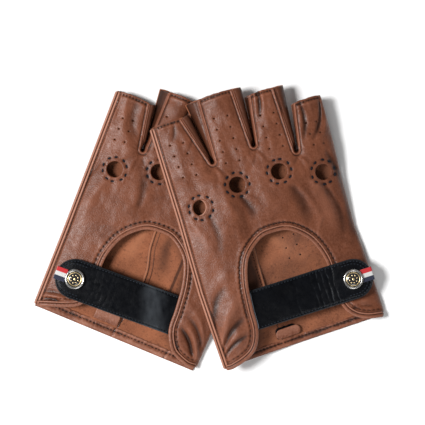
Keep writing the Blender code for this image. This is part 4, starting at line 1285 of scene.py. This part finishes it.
def fourchettes(glove):
    """The strips that join the sides of neighbouring fingers, one folded round each slit."""
    steps = np.array([0, 0.03, 0.06, 0.1, 0.15, 0.21, 0.28, 0.36, 0.45, 0.55, 0.65, 0.75, 0.85, 0.93, 1.0])
    for k, (top, bottom) in enumerate(zip(BACK_SLITS, PALM_SLITS)):
        ends = glove.finger_ends[k] - 0.3, glove.finger_ends[k + 1] - 0.3
        at = np.linspace(0, 1, 130)
        upper = resample(slit_outline(top, *ends, BACK_SLIT_RADIUS, grow=0.3), 0.4)
        lower = resample(slit_outline(bottom, *ends, PALM_SLIT_RADIUS, grow=0.25), 0.4)
        upper = np.stack([np.interp(at, np.linspace(0, 1, len(upper)), upper[:, c]) for c in (0, 1)], 1)
        lower = np.stack([np.interp(at, np.linspace(0, 1, len(lower)), lower[:, c]) for c in (0, 1)], 1)
        left, fork, right = top
        share = np.clip((upper[:, 1] - fork[1]) / (FINGERTIP_V - fork[1]), 0, 1)
        width = 2 * BACK_SLIT_RADIUS + (right - left - 2 * BACK_SLIT_RADIUS) * share
        reach = fourchette_reach(glove, k, at, width) * smoothstep(share, -0.01, 0.15) + 0.35
        inwards = offset_path(upper, 1.0) - upper
        high = glove.back_height(*upper.T) + 0.25
        low = glove.palm_height(*lower.T) + LEATHER + 0.25
        drop = high - low
        t = steps[None, :, None]
        first = upper + inwards * (1.05 * reach)[:, None]
        second = upper + inwards * (1.25 * reach)[:, None]
        second = second + (lower - second) * 0.15
        where = ((1 - t) ** 3 * upper[:, None] + 3 * (1 - t) ** 2 * t * first[:, None]
                 + 3 * (1 - t) * t**2 * second[:, None] + t**3 * lower[:, None])
        t = steps[None]
        deep = ((1 - t) ** 3 * high[:, None] + 3 * (1 - t) ** 2 * t * (high + 0.2)[:, None]
                + 3 * (1 - t) * t**2 * (high - 0.75 * drop)[:, None] + t**3 * low[:, None])
        steps_across = np.linalg.norm(np.diff(where, axis=1), axis=2)
        from_top = np.concatenate([np.zeros((len(at), 1)), np.cumsum(steps_across, axis=1)], axis=1)
        bead = 0.50 * ridge(from_top, 0.55, 0.40) - 0.35 * ridge(from_top, 1.35, 0.45)
        waves = (0.30 * fractal(upper[:, 1:] / 16, from_top / 3 + 4 * k, glove.seed + 70, 2)
                 * smoothstep(from_top, 1, 3))
        grid = glove.place(where[..., 0], where[..., 1], deep + bead + waves)
        # Its bead is painted lighter and the wall darker further down into the slit: painted highlight and
        # painted shade.
        obj = shell(glove.name(f"fourchette_leather_{FINGERS[k]}_{FINGERS[k + 1]}"), grid, 0.7,
                    [BROWN, SUEDE],
                    wear=0.6 * bead - 0.18 * smoothstep(from_top, 0.8, 2.5) - 0.35 * t)
        ride(obj, glove.body, "brown_leather", glove.name(f"fourchette_{FINGERS[k]}_{FINGERS[k + 1]}"))


def bound_edge(glove):
    """The bound edge round the opening: two rolled beads and a flat lip over the cut edge."""
    profile = [
        (-2.35, -0.5), (-2.35, -0.1), (-2.05, 0.25), (-1.5, 0.46), (-0.85, 0.50), (-0.4, 0.36), (-0.12, 0.04),
        (0.08, 0.04), (0.35, 0.40), (0.75, 0.64), (1.15, 0.46), (1.45, 0.08), (1.6, -0.35), (1.4, -0.5),
        (0.2, -0.45), (-0.4, -1.0), (-1.6, -1.15),
    ]
    # The beads are painted lighter and the grooves between them darker: painted highlight and painted shade.
    wear = np.array([-0.3, 0.0, 0.25, 0.15, 0.1, 0.0, -0.55, -0.55, 0.1, 0.5, 0.1, -0.4, -0.5, 0, 0, 0, 0])
    obj = strip(glove.name("bound_edge"), glove, bound_line(glove), profile, glove.back_top, TRIM, wear)
    ride(obj, glove.body, "brown_leather", glove.name("opening_binding"))


def side_seams(glove):
    """The sewn edges down both sides: one shows on top of the glove, the other is underneath."""
    on_top = top_seam_side(glove)
    inwards = -1 if on_top == "thumb" else 1
    ends = {"thumb": glove.finger_ends[0], "little": glove.finger_ends[3]}
    ridges = [
        (0.0, 3.3), (0.0, 4.3), (0.25, 5.1), (0.7, 5.65), (1.15, 5.65), (1.5, 5.25), (1.72, 4.75),
        (1.95, 5.2),
        (2.25, 5.9), (2.7, 6.25), (3.15, 6.15), (3.55, 5.6), (3.75, 4.9), (3.2, 4.3), (1.6, 3.6), (0.6, 3.0),
    ]
    profile = [(inwards * a, w) for a, w in ridges]
    # The beads are painted lighter and the groove between them darker: painted highlight and painted shade.
    wear = np.array([-0.1, 0.2, 0.5, 0.7, 0.6, 0.1, -0.8, 0.1, 0.6, 0.7, 0.4, -0.3, -0.8, 0, 0, 0])

    def base(u, v):
        return glove.thumb_rise(u, v) + 0.12 * fractal(u / 6, v / 6, glove.seed + 80, 2)

    path = side_path(glove, on_top, 0.0, -1.6, ends[on_top] - 0.2, 0.8)
    obj = strip(glove.name("top_seam"), glove, path, profile, base, TRIM, wear)
    ride(obj, glove.body, "brown_leather", glove.name(f"{on_top}_side_piping"))
    other = "little" if on_top == "thumb" else "thumb"
    path = side_path(glove, other, 0.85, 0.2, ends[other] - 0.4, 1.2)
    obj = strip(glove.name("under_seam"), glove, path, circle((0, 0.9), 0.8, 12), glove.thumb_rise, TRIM)
    ride(obj, glove.body, "brown_leather", glove.name(f"{other}_side_piping"))


def palm_hem(glove, stitching):
    """The turned and sewn hem along the palm's edge at the wrist, sewn from three lengths."""
    low, high = glove.edges(0)
    inset_low, inset_high = seam_insets(glove, on_top=1.2, underneath=1.6)
    left, right = low + inset_low, high - inset_high
    bottom = glove.hem_bottom
    row = [(left + 1, bottom + 0.62 * (HEM_TOP - bottom)), (right - 1, bottom + 0.62 * (HEM_TOP - bottom))]
    stitches = Near(resample(row, HEM_STITCH_PITCH), step=None)

    def top(u, v):
        share = (v - bottom) / (HEM_TOP - bottom) + 0.05 * fractal(u / 9, 0.0, glove.seed + 92, 2)
        roll = (0.25 * ridge(share, 0.25, 0.2) - 0.20 * ridge(share, 0.62, 0.08)
                + 0.20 * ridge(share, 0.84, 0.12))
        joints = np.zeros(len(u))
        for at in glove.hem_joints:
            joints -= 0.7 * ridge(u + 0.15 * v, at, 0.45) - 0.35 * ridge(u + 0.15 * v, at - 1.2, 0.7)
        puckers = 0.34 * fractal(u / 1.5, v / 4, glove.seed + 90, 3) * smoothstep(share, 0.3, 0.5)
        puckers += (0.3 * fractal(u / 14, v / 14, glove.seed + 91)
                    + 0.1 * fractal(u / 3, v / 3, glove.seed + 93))
        dimples = -0.50 * ridge(stitches(u, v), 0, 0.85)
        total = np.maximum(roll + joints + puckers + dimples, -0.3)
        under_tab = smoothstep(np.abs(u - glove.tab_u), 11, 9) * smoothstep(share, 0.55, 0.9)
        total -= under_tab * (np.maximum(total, 0) + 0.3)
        # The colour follows the relief: painted highlight on what stands up, painted shade in what sinks;
        # hem_shade darkens the whole band.
        wear = roll + joints + dimples + 0.9 * puckers - glove.hem_shade
        return glove.palm_height(u, v) + 1.4 * LEATHER + total, wear

    loop = np.vstack([line((left, bottom), (right, bottom)), line((right, bottom), (right, HEM_TOP)),
                      line((right, HEM_TOP), (left, HEM_TOP)), line((left, HEM_TOP), (left, bottom))])
    obj = sheet(glove.name("hem_band"), glove, [loop], top, 1.4 * LEATHER, [TRIM], 0.9,
                (0.2, 0.5, 0.9, 1.4, 1.9, 2.4), rounding=0.8)
    ride(obj, glove.body, "brown_leather", glove.name("palm_hem"))
    stitching.run(glove, row, HEM_STITCH_PITCH, 1.7, 0.28, lambda u, v: top(u, v)[0], 0.16, slant=12)


def tab_outline(centre, bottom, top, width, corner, foot_corner):
    """A tab with rounded corners."""
    corners = (
        (centre + width / 2, bottom, -1, 1, foot_corner, -90), (centre + width / 2, top, -1, -1, corner, 0),
        (centre - width / 2, top, 1, -1, corner, 90), (centre - width / 2, bottom, 1, 1, foot_corner, 180),
    )
    turns = [arc((u + a * r, v + b * r), r, start, start + 90, 10) for u, v, a, b, r, start in corners]
    sides = [line(here[-1], after[0], 0.8)[1:] for here, after in zip(turns, turns[1:] + turns[:1])]
    return np.vstack([piece for pair in zip(turns, sides) for piece in pair])


def pull_tab(glove):
    """A small leather tab with a black backing, sewn in at the palm's hem."""
    bottom = TAB_BOTTOM
    body = glove.name("tab")
    round_foot = glove.side == "right"

    def backing_top(u, v):
        return glove.palm_top(u, v) + GAP + 0.8, np.zeros(len(u))

    def leather_top(u, v):
        # The tab's colour follows its relief and lightens as it lifts towards the top: painted highlight.
        lift = 0.35 * smoothstep(v, bottom, bottom + 5)
        relief = 0.10 * fractal(u / 3, v / 5, glove.seed + 95) + lift
        return glove.palm_top(u, v) + 2 * GAP + 1.7 + relief, 0.8 * relief

    # The backing of the right glove's tab shows above it, towards the thumb.
    aside, above = (-1.4, 1.3) if round_foot else (0.0, -0.6)
    loop = tab_outline(glove.tab_u + aside, bottom + 0.3, glove.tab_top + above, TAB_WIDTH - 2.4, 2.6, 0.5)
    obj = sheet(glove.name("tab_backing_leather"), glove, [loop], backing_top, 0.8, [BLACK], 1.2,
                (0.15, 0.4, 0.8), 0.4)
    ride(obj, body, "black_leather", glove.name("tab_backing"))
    foot = 2.4 if round_foot else 0.5
    loop = tab_outline(glove.tab_u - 0.3, bottom, glove.tab_top, TAB_WIDTH, 3.2, foot)
    obj = sheet(glove.name("tab_leather"), glove, [loop], leather_top, 1.0, [TRIM], 1.0,
                (0.15, 0.4, 0.8, 1.2), 0.5)
    ride(obj, body, "brown_leather", glove.name("pull_tab"))


def thumb_sleeve(glove):
    """The thumb's sleeve, flat under the palm, open at its upper end and round at its root."""
    rows, columns = 60, 64
    share = np.linspace(0, 1, rows)[:, None] ** 1.25
    turns = glove.hand * np.linspace(0, 2 * math.pi, columns + 1)[None, :-1]  # keeps the grain side outside
    c, s = np.cos(turns), np.sin(turns)
    width = THUMB_WIDTH / 2 * np.sqrt(np.maximum(0.002, 1 - (1 - np.minimum(1, share / 0.22)) ** 2))
    v = THUMB_START + (THUMB_END - THUMB_START) * share + 0 * turns
    u = THUMB_U + width * np.copysign(np.abs(c) ** 0.8, c)
    up = THUMB_HEIGHT / 2 * np.copysign(np.minimum(1.0, np.abs(s) * 1.5), s)
    pinch = np.minimum(1, width / 4)
    wrinkles = 0.22 * fractal(u / 5, v / 9, glove.seed + 100, 2) * np.abs(s) * smoothstep(share, 0.02, 0.2)
    hem = 0.25 * ridge(v, THUMB_END - 2.6, 0.5)
    w = THUMB_HEIGHT / 2 + up * pinch * 0.86 - np.sign(s) * (np.abs(wrinkles) + hem) * pinch
    grid = glove.place(u, v, w)
    # Its wrinkles and hem are painted darker: painted shade.
    obj = shell(glove.name("thumb_leather"), grid, THUMB_LEATHER, [BROWN, SUEDE], wrap=True,
                wear=-np.abs(wrinkles) - hem)
    ride(obj, glove.name("thumb"), "brown_leather", glove.name("thumb_sleeve"))


# The strap and its snap fastener.


def strap_outline(glove, margin, start):
    half = STRAP_WIDTH / 2 - margin
    centre = STRAP_LENGTH - STRAP_WIDTH / 2
    tip = arc((centre, 0), half, -90, 90, 40)
    flat = np.vstack([line((start, -half), tip[0]), tip, line(tip[-1], (start, half))[1:],
                      line((start, half), (start, -half))])
    return glove.strap_points(flat)


class StrapSurface:
    """The upper side of the strap: padded, stitched along its edge and creased where it bends."""

    def __init__(self, glove):
        self.glove = glove
        self.edge = Near(strap_edge(glove, 0.0))

    def along(self, u, v):
        c, s = math.cos(self.glove.strap_turn), math.sin(self.glove.strap_turn)
        du, dv = u - self.glove.strap_start[0], v - self.glove.strap_start[1]
        return du * c + dv * s, dv * c - du * s

    def sway(self, aside, at):
        """How far a crease that crosses the strap wanders."""
        return 1.3 * fractal(aside / 11.0, at, self.glove.seed + 112)

    def crease_points(self):
        """Points close together along each crease, so that the leather can follow it."""
        aside = np.arange(2.5 - STRAP_WIDTH / 2, STRAP_WIDTH / 2 - 2.4, 0.7)
        rows = []
        for at, _ in STRAP_CREASES:
            for off in (-0.5, 0.0, 0.5, 1.0):
                rows.append(np.stack([at + off - self.sway(aside, at), aside], 1))
        return self.glove.strap_points(np.vstack(rows))

    def __call__(self, u, v):
        glove = self.glove
        along, aside = self.along(u, v)
        from_edge = self.edge(u, v)
        padding = 0.55 * (1 - np.exp(-from_edge / 3.0)) - 0.30
        edge = 0.10 * ridge(from_edge, 0.5, 0.4) - 0.26 * ridge(from_edge, 1.5, 0.45)
        creases = np.zeros(len(u))
        pale = np.zeros(len(u))
        for at, depth in STRAP_CREASES:
            sway = self.sway(aside, at)
            depth *= glove.strap_creasing
            creases -= depth * ridge(along + sway, at, 0.55)
            broken = smoothstep(fractal(aside / 4.0, at, glove.seed + 113), -0.35, 0.15)
            pale += 2.0 * depth * broken * ridge(along + sway, at + 0.5, 0.32)
        undulation = (0.22 * fractal(along / 11, aside / 9, glove.seed + 110)
                      + 0.05 * fractal(along / 2, aside / 2, 7.0))
        from_snap = np.hypot(u - glove.snap[0], v - glove.snap[1])
        flat = smoothstep(from_snap, CAP_RADIUS, CAP_RADIUS + 4)
        total = padding + edge + (creases + undulation) * flat
        thickness_top = glove.strap_height(u) + STRAP_THICKNESS
        # Painted sheen: a lighter band across the strap at this distance along it, broken into streaks.
        at, shine = glove.strap_sheen
        streaks = 0.6 + 0.5 * fractal((along - 0.3 * aside) / 4.5, aside / 12, glove.seed + 111, 4)
        sheen = shine * ridge(along - 0.3 * aside, at, 7.0) * streaks
        # A painted highlight along the strap's edge.
        rim = 0.22 * ridge(from_edge, 0.35, 0.35)
        # Creases and undulation shift the colour too: painted shade in the creases, painted light on the
        # undulation.
        return thickness_top + total, edge + 0.5 * creases + pale * flat + rim + sheen + 0.12 * undulation

    def height(self, u, v):
        return self(np.asarray(u), np.asarray(v))[0]


def strap_edge(glove, inset):
    """The strap's long edges and its tip, as one open path, a distance inside."""
    half = STRAP_WIDTH / 2 - inset
    centre = STRAP_LENGTH - STRAP_WIDTH / 2
    tip = arc((centre, 0), half, -90, 90, 40)
    return glove.strap_points(np.vstack([
        line((STRAP_START, -half), tip[0]), tip, line(tip[-1], (STRAP_START, half))[1:]]))


def blend_strap(glove, obj, slot, *nodes):
    """The strap bends where it comes out from under the bound edge, but not here: this bakes a piece's
    placement into its mesh and hides its CAD nodes; slot is not used.
    """
    height = glove.strap_height(glove.strap_start[0])
    bend = [tuple(glove.place(*glove.strap_points([(at, 0.0)])[0], height)) for at in (-0.5, 6.0)]
    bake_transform(obj)
    if nodes:
        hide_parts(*nodes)


def strap(glove):
    surface = StrapSurface(glove)
    hole = circle(glove.snap, SNAP_SHANK_RADIUS + 0.3, 16)
    rings = [(0.15, 0.4, 0.75, 1.1, 1.5, 1.9, 2.4, 3.0), (0.3, 0.8)]
    obj = sheet(glove.name("strap_leather"), glove, [strap_outline(glove, 0.0, STRAP_START), hole],
                surface, 1.45,
                [BLACK], STRAP_STEP, rings, 0.7, surface.crease_points())
    blend_strap(glove, obj, "black_leather", glove.name("strap"))

    def lining_top(u, v):
        return glove.strap_height(u) + 1.05, np.zeros(len(u))

    obj = sheet(glove.name("strap_lining_leather"), glove,
                [strap_outline(glove, 0.35, STRAP_START + 0.2), hole], lining_top,
                1.05, [BLACK], 2.0, (0.15, 0.4, 0.8), 0.5)
    blend_strap(glove, obj, "black_leather", glove.name("strap_lining"))
    edging = Stitching()
    edging.run(glove, strap_edge(glove, 1.5), 2.1, 1.5, 0.27, surface.height)
    tip = strap_edge(glove, 3.2)
    tip = tip[surface.along(*tip.T)[0] > STRAP_LENGTH - 20]
    edging.run(glove, tip, 2.1, 1.5, 0.24, surface.height)
    blend_strap(glove, edging.build(glove.name("strap_stitches"), STRAP_THREAD), "black_leather")

    def root_top(u, v):
        return glove.strap_height(u) + 2 * LEATHER, np.zeros(len(u))

    half, near, far = STRAP_WIDTH / 2 - 0.6, STRAP_START - GAP, -GAP - STRAP_ROOT_LENGTH
    root = np.vstack([line((far, -half), (near, -half)), line((near, -half), (near, half)),
                      line((near, half), (far, half)), line((far, half), (far, -half))])
    obj = sheet(glove.name("strap_root_leather"), glove, [glove.strap_points(root)], root_top, 2 * LEATHER,
                [BLACK], 2.0, (0.2, 0.6), 0.7)
    ride(obj, glove.body, "black_leather", glove.name("strap_root"))
    if glove.side == "right":
        edge = offset_path(bound_line(glove), -2.55)
        along, aside = surface.along(*edge.T)
        edge = edge[(np.abs(aside) < STRAP_WIDTH / 2 - 0.4) & (along < 10)]
        profile = [(-0.36, -0.8), (-0.34, 0.1), (0.0, 0.32), (0.34, 0.1), (0.36, -0.8)]
        obj = strip(glove.name("strap_cut_edge"), glove, edge, profile, surface.height, CUT_EDGE,
                    np.full(5, 0.3), 0.8)
        ride(obj, glove.body, "black_leather")


def strap_ribbon(glove):
    """The striped ribbon folded round the strap's tip, from beside the cap to the underside."""
    top = glove.strap_height(glove.snap[0]) + STRAP_THICKNESS
    start = STRAP_LENGTH - SNAP_FROM_TIP + CAP_RADIUS - 0.6
    lift = RIBBON_THICKNESS / 2 + GAP
    bottom = glove.strap_height(glove.snap[0] + 8) - lift
    out = STRAP_LENGTH + 0.45
    middle, half = (top + lift + bottom) / 2, (top + lift - bottom) / 2
    turns = np.radians(np.linspace(90, -90, 15))
    over_tip = np.stack([out - half * 0.35 + half * 0.35 * np.cos(turns), middle + half * np.sin(turns)], 1)
    profile = resample(np.vstack([[(start, top + lift + 0.35), (start + 3, top + lift + 0.15)], over_tip,
                                  [(STRAP_LENGTH - 4.5, bottom)]]), 0.3)
    along = np.concatenate([[0], np.cumsum(np.linalg.norm(np.diff(profile, axis=0), axis=1))])
    across = np.linspace(0, 1, 28)
    aside = (across - 0.5) * RIBBON_WIDTH
    rounded = 0.12 * (1 - (2 * across - 1) ** 2)
    flat = glove.strap_points(
        np.stack(np.broadcast_arrays(profile[:, :1], aside[None]), -1).reshape(-1, 2)
    ).reshape(len(profile), len(across), 2)
    grid = glove.place(flat[..., 0], flat[..., 1], profile[:, 1:] + rounded[None])
    obj = shell(glove.name("ribbon"), grid, RIBBON_THICKNESS, [RIBBON], rounding=0.2,
                across=np.broadcast_to(across[None], grid.shape[:2]),
                along=np.broadcast_to(along[:, None], grid.shape[:2]))
    ride(obj, glove.strap_body, "striped_ribbon", glove.name("strap_ribbon"))


def ball(name, glove, centre, radius, squash, base, finish, steps=20):
    """A flattened bead standing on base."""
    turns = np.radians(np.linspace(90, -90, 11))
    profile = [(radius * math.cos(a), radius * squash * (1 + math.sin(a))) for a in turns]
    return turned(name, glove, centre, profile, finish, base, steps)


def snap(glove):
    """The snap's cap with its rolled rim, and a badge with a plain ring of beads set in it."""
    top = glove.strap_height(glove.snap[0]) + STRAP_THICKNESS
    foot = top + 0.3
    rim = arc((CAP_RADIUS - 0.75, foot + 1.55), 0.85, 150, 0, 10)
    side = arc((CAP_RADIUS - 0.5, foot + 0.5), 0.5, 0, -90, 5)
    profile = [(0, foot + 1.2), (BADGE_RADIUS + 0.2, foot + 1.2), *rim, *side,
                (SNAP_SHANK_RADIUS, foot), (SNAP_SHANK_RADIUS, top - STRAP_THICKNESS),
                (0, top - STRAP_THICKNESS)]
    obj = turned(glove.name("snap_cap_metal"), glove, glove.snap, profile, NICKEL)
    ride(obj, glove.strap_body, "nickel_plate", glove.name("snap_cap"))
    seat = foot + 1.45
    disc = [(0, seat + 0.5), (BADGE_RADIUS * 0.6, seat + 0.45), (BADGE_RADIUS - 0.1, seat + 0.3),
            (BADGE_RADIUS - 0.1, seat), (0, seat)]
    obj = turned(glove.name("badge_enamel"), glove, glove.snap, disc, ENAMEL)
    ride(obj, glove.strap_body, "enamelled_badge", glove.name("snap_badge"))
    ring = strip_ring(glove, BADGE_RADIUS - 0.5, 0.33, seat + 0.33)
    ride(ring, glove.strap_body, "enamelled_badge")
    ride(ball(glove.name("badge_boss"), glove, glove.snap, 0.95, 0.45, seat + 0.42, BRASS, 32),
         glove.strap_body, "enamelled_badge")
    beads = 8
    for k in range(beads):
        turn = 2 * math.pi * k / beads
        centre = (glove.snap[0] + 2.45 * math.cos(turn), glove.snap[1] + 2.45 * math.sin(turn))
        obj = ball(glove.name(f"badge_bead_{k + 1}"), glove, centre, 0.52, 0.5, seat + 0.36, BRASS)
        ride(obj, glove.strap_body, "enamelled_badge")


def strip_ring(glove, radius, thickness, height):
    """A round wire lying in a circle about the snap."""
    steps, sides = 64, 10
    turns = np.arange(steps) * 2 * math.pi / steps
    round_the_wire = np.arange(sides) * 2 * math.pi / sides
    reach = radius + thickness * np.cos(round_the_wire)
    u = glove.snap[0] + reach[None] * np.cos(turns)[:, None]
    v = glove.snap[1] + reach[None] * np.sin(turns)[:, None]
    x, y = glove.flat(u, v)
    lift = glove.place(*glove.snap, 0.0)[2] / MM
    z = lift + height + 0.6 * thickness * np.sin(round_the_wire)[None] + 0 * u
    points = np.stack([x, y, z], -1).reshape(-1, 3) * MM
    i, j = np.meshgrid(np.arange(steps), np.arange(sides), indexing="ij")
    after, k = (i + 1) % steps, (j + 1) % sides
    faces = np.stack([i * sides + j, i * sides + k, after * sides + k, after * sides + j], -1).reshape(-1, 4)
    return closed_mesh(glove.name("badge_ring"), points, faces, [BRASS])


# Stitches that hold the glove together.


def back_stitches(glove, surface, stitching):
    """Rows along the opening, across the finger ends and beside the side seam."""
    around = outer_stitch_line(glove)
    arch = around[around[:, 1] > 24]
    stitching.run(glove, arch, OUTER_STITCH_PITCH, 2.1, 0.34, surface.height, 0.22, slant=-32)
    for side in (-1, 1):
        flap = around[(around[:, 1] <= 24) & (side * around[:, 0] > 0)]
        stitching.run(glove, flap, OUTER_STITCH_PITCH, 1.8, 0.22, surface.height, 0.10, slant=-20)
    stitching.run(glove, bound_line(glove), 2.2, 1.5, 0.20, glove.back_top, 0.10)
    for path in finger_end_lines(glove, END_STITCH_INSET):
        stitching.run(glove, path, END_STITCH_PITCH, 1.7, 0.26, surface.height, 0.16, slant=75)
    side = top_seam_side(glove)
    end = glove.finger_ends[0 if side == "thumb" else 3]
    stitching.run(glove, side_path(glove, side, SEAM_WIDTH + 0.75, 3, end - 2), 1.9, 1.1, 0.2,
                  surface.height, 0.06)


def knuckle_stitches(glove, surface, stitching):
    """Black stitches round each knuckle hole."""
    for k, centre in enumerate(KNUCKLES):
        places, tangent = knuckle_stitch_places(centre, k)
        stitching.add(glove, places, tangent, 2.8, 0.52, surface.height, 0.45)


def fasteners_kept_from_cad(glove):
    for part in ("snap_stud", "snap_eyelet", "snap_socket"):
        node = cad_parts[glove.name(part)]
        for k in range(max(1, len(node.material_slots))):
            if node.material_slots:
                node.material_slots[k].material = NICKEL
            else:
                node.data.materials.append(NICKEL)


def make_glove(glove):
    surface = BackSurface(glove)
    brown, black = Stitching(), Stitching()
    back_leather(glove, surface)
    if glove.side == "right":
        knuckle_facing(glove)
    palm_leather(glove, brown)
    fourchettes(glove)
    bound_edge(glove)
    side_seams(glove)
    palm_hem(glove, brown)
    pull_tab(glove)
    thumb_sleeve(glove)
    strap(glove)
    strap_ribbon(glove)
    snap(glove)
    back_stitches(glove, surface, brown)
    knuckle_stitches(glove, surface, black)
    ride(brown.build(glove.name("brown_stitches"), BROWN_THREAD), glove.body, "brown_leather")
    ride(black.build(glove.name("knuckle_stitches"), BLACK_THREAD), glove.body, "black_leather")
    fasteners_kept_from_cad(glove)


# The studio.


def floor():
    half = 1.5
    mesh = bpy.data.meshes.new("floor")
    mesh.from_pydata([(-half, -half, 0), (half, -half, 0), (half, half, 0), (-half, half, 0)],
                     [], [(0, 1, 2, 3)])
    mesh.materials.append(floor_paper())
    obj = bpy.data.objects.new("floor", mesh)
    obj.location.z = cad_box[0][2] - 0.0002
    bpy.context.scene.collection.objects.link(obj)


def soft_light(name, location, size, power):
    data = bpy.data.lights.new(name, "AREA")
    data.shape = "DISK"
    data.size = size
    data.energy = power
    obj = bpy.data.objects.new(name, data)
    obj.location = location
    obj.rotation_euler = (-Vector(location)).to_track_quat("-Z", "Y").to_euler()
    bpy.context.scene.collection.objects.link(obj)


def studio():
    scene = bpy.context.scene
    scene.view_settings.view_transform = "Standard"
    world = bpy.data.worlds.new("studio")
    world.use_nodes = True
    background = world.node_tree.nodes["Background"]
    background.inputs["Color"].default_value = (1, 1, 1, 1)
    background.inputs["Strength"].default_value = 0.21
    scene.world = world
    soft_light("key", (-1.32, 0.10, 1.90), 0.74, 66.0)
    soft_light("fill", (0.15, -0.85, 0.80), 0.6, 3.6)


def camera():
    """A long lens straight above the gloves."""
    view_width = 0.27625
    data = bpy.data.cameras.new("camera")
    data.lens = 200.0
    data.sensor_width = 36.0
    data.clip_end = 10.0
    obj = bpy.data.objects.new("camera", data)
    obj.location = (0.0018, 0.0108, view_width * data.lens / data.sensor_width)
    bpy.context.scene.collection.objects.link(obj)
    bpy.context.scene.camera = obj


for each_glove in (LEFT, RIGHT):
    make_glove(each_glove)
floor()
studio()
camera()
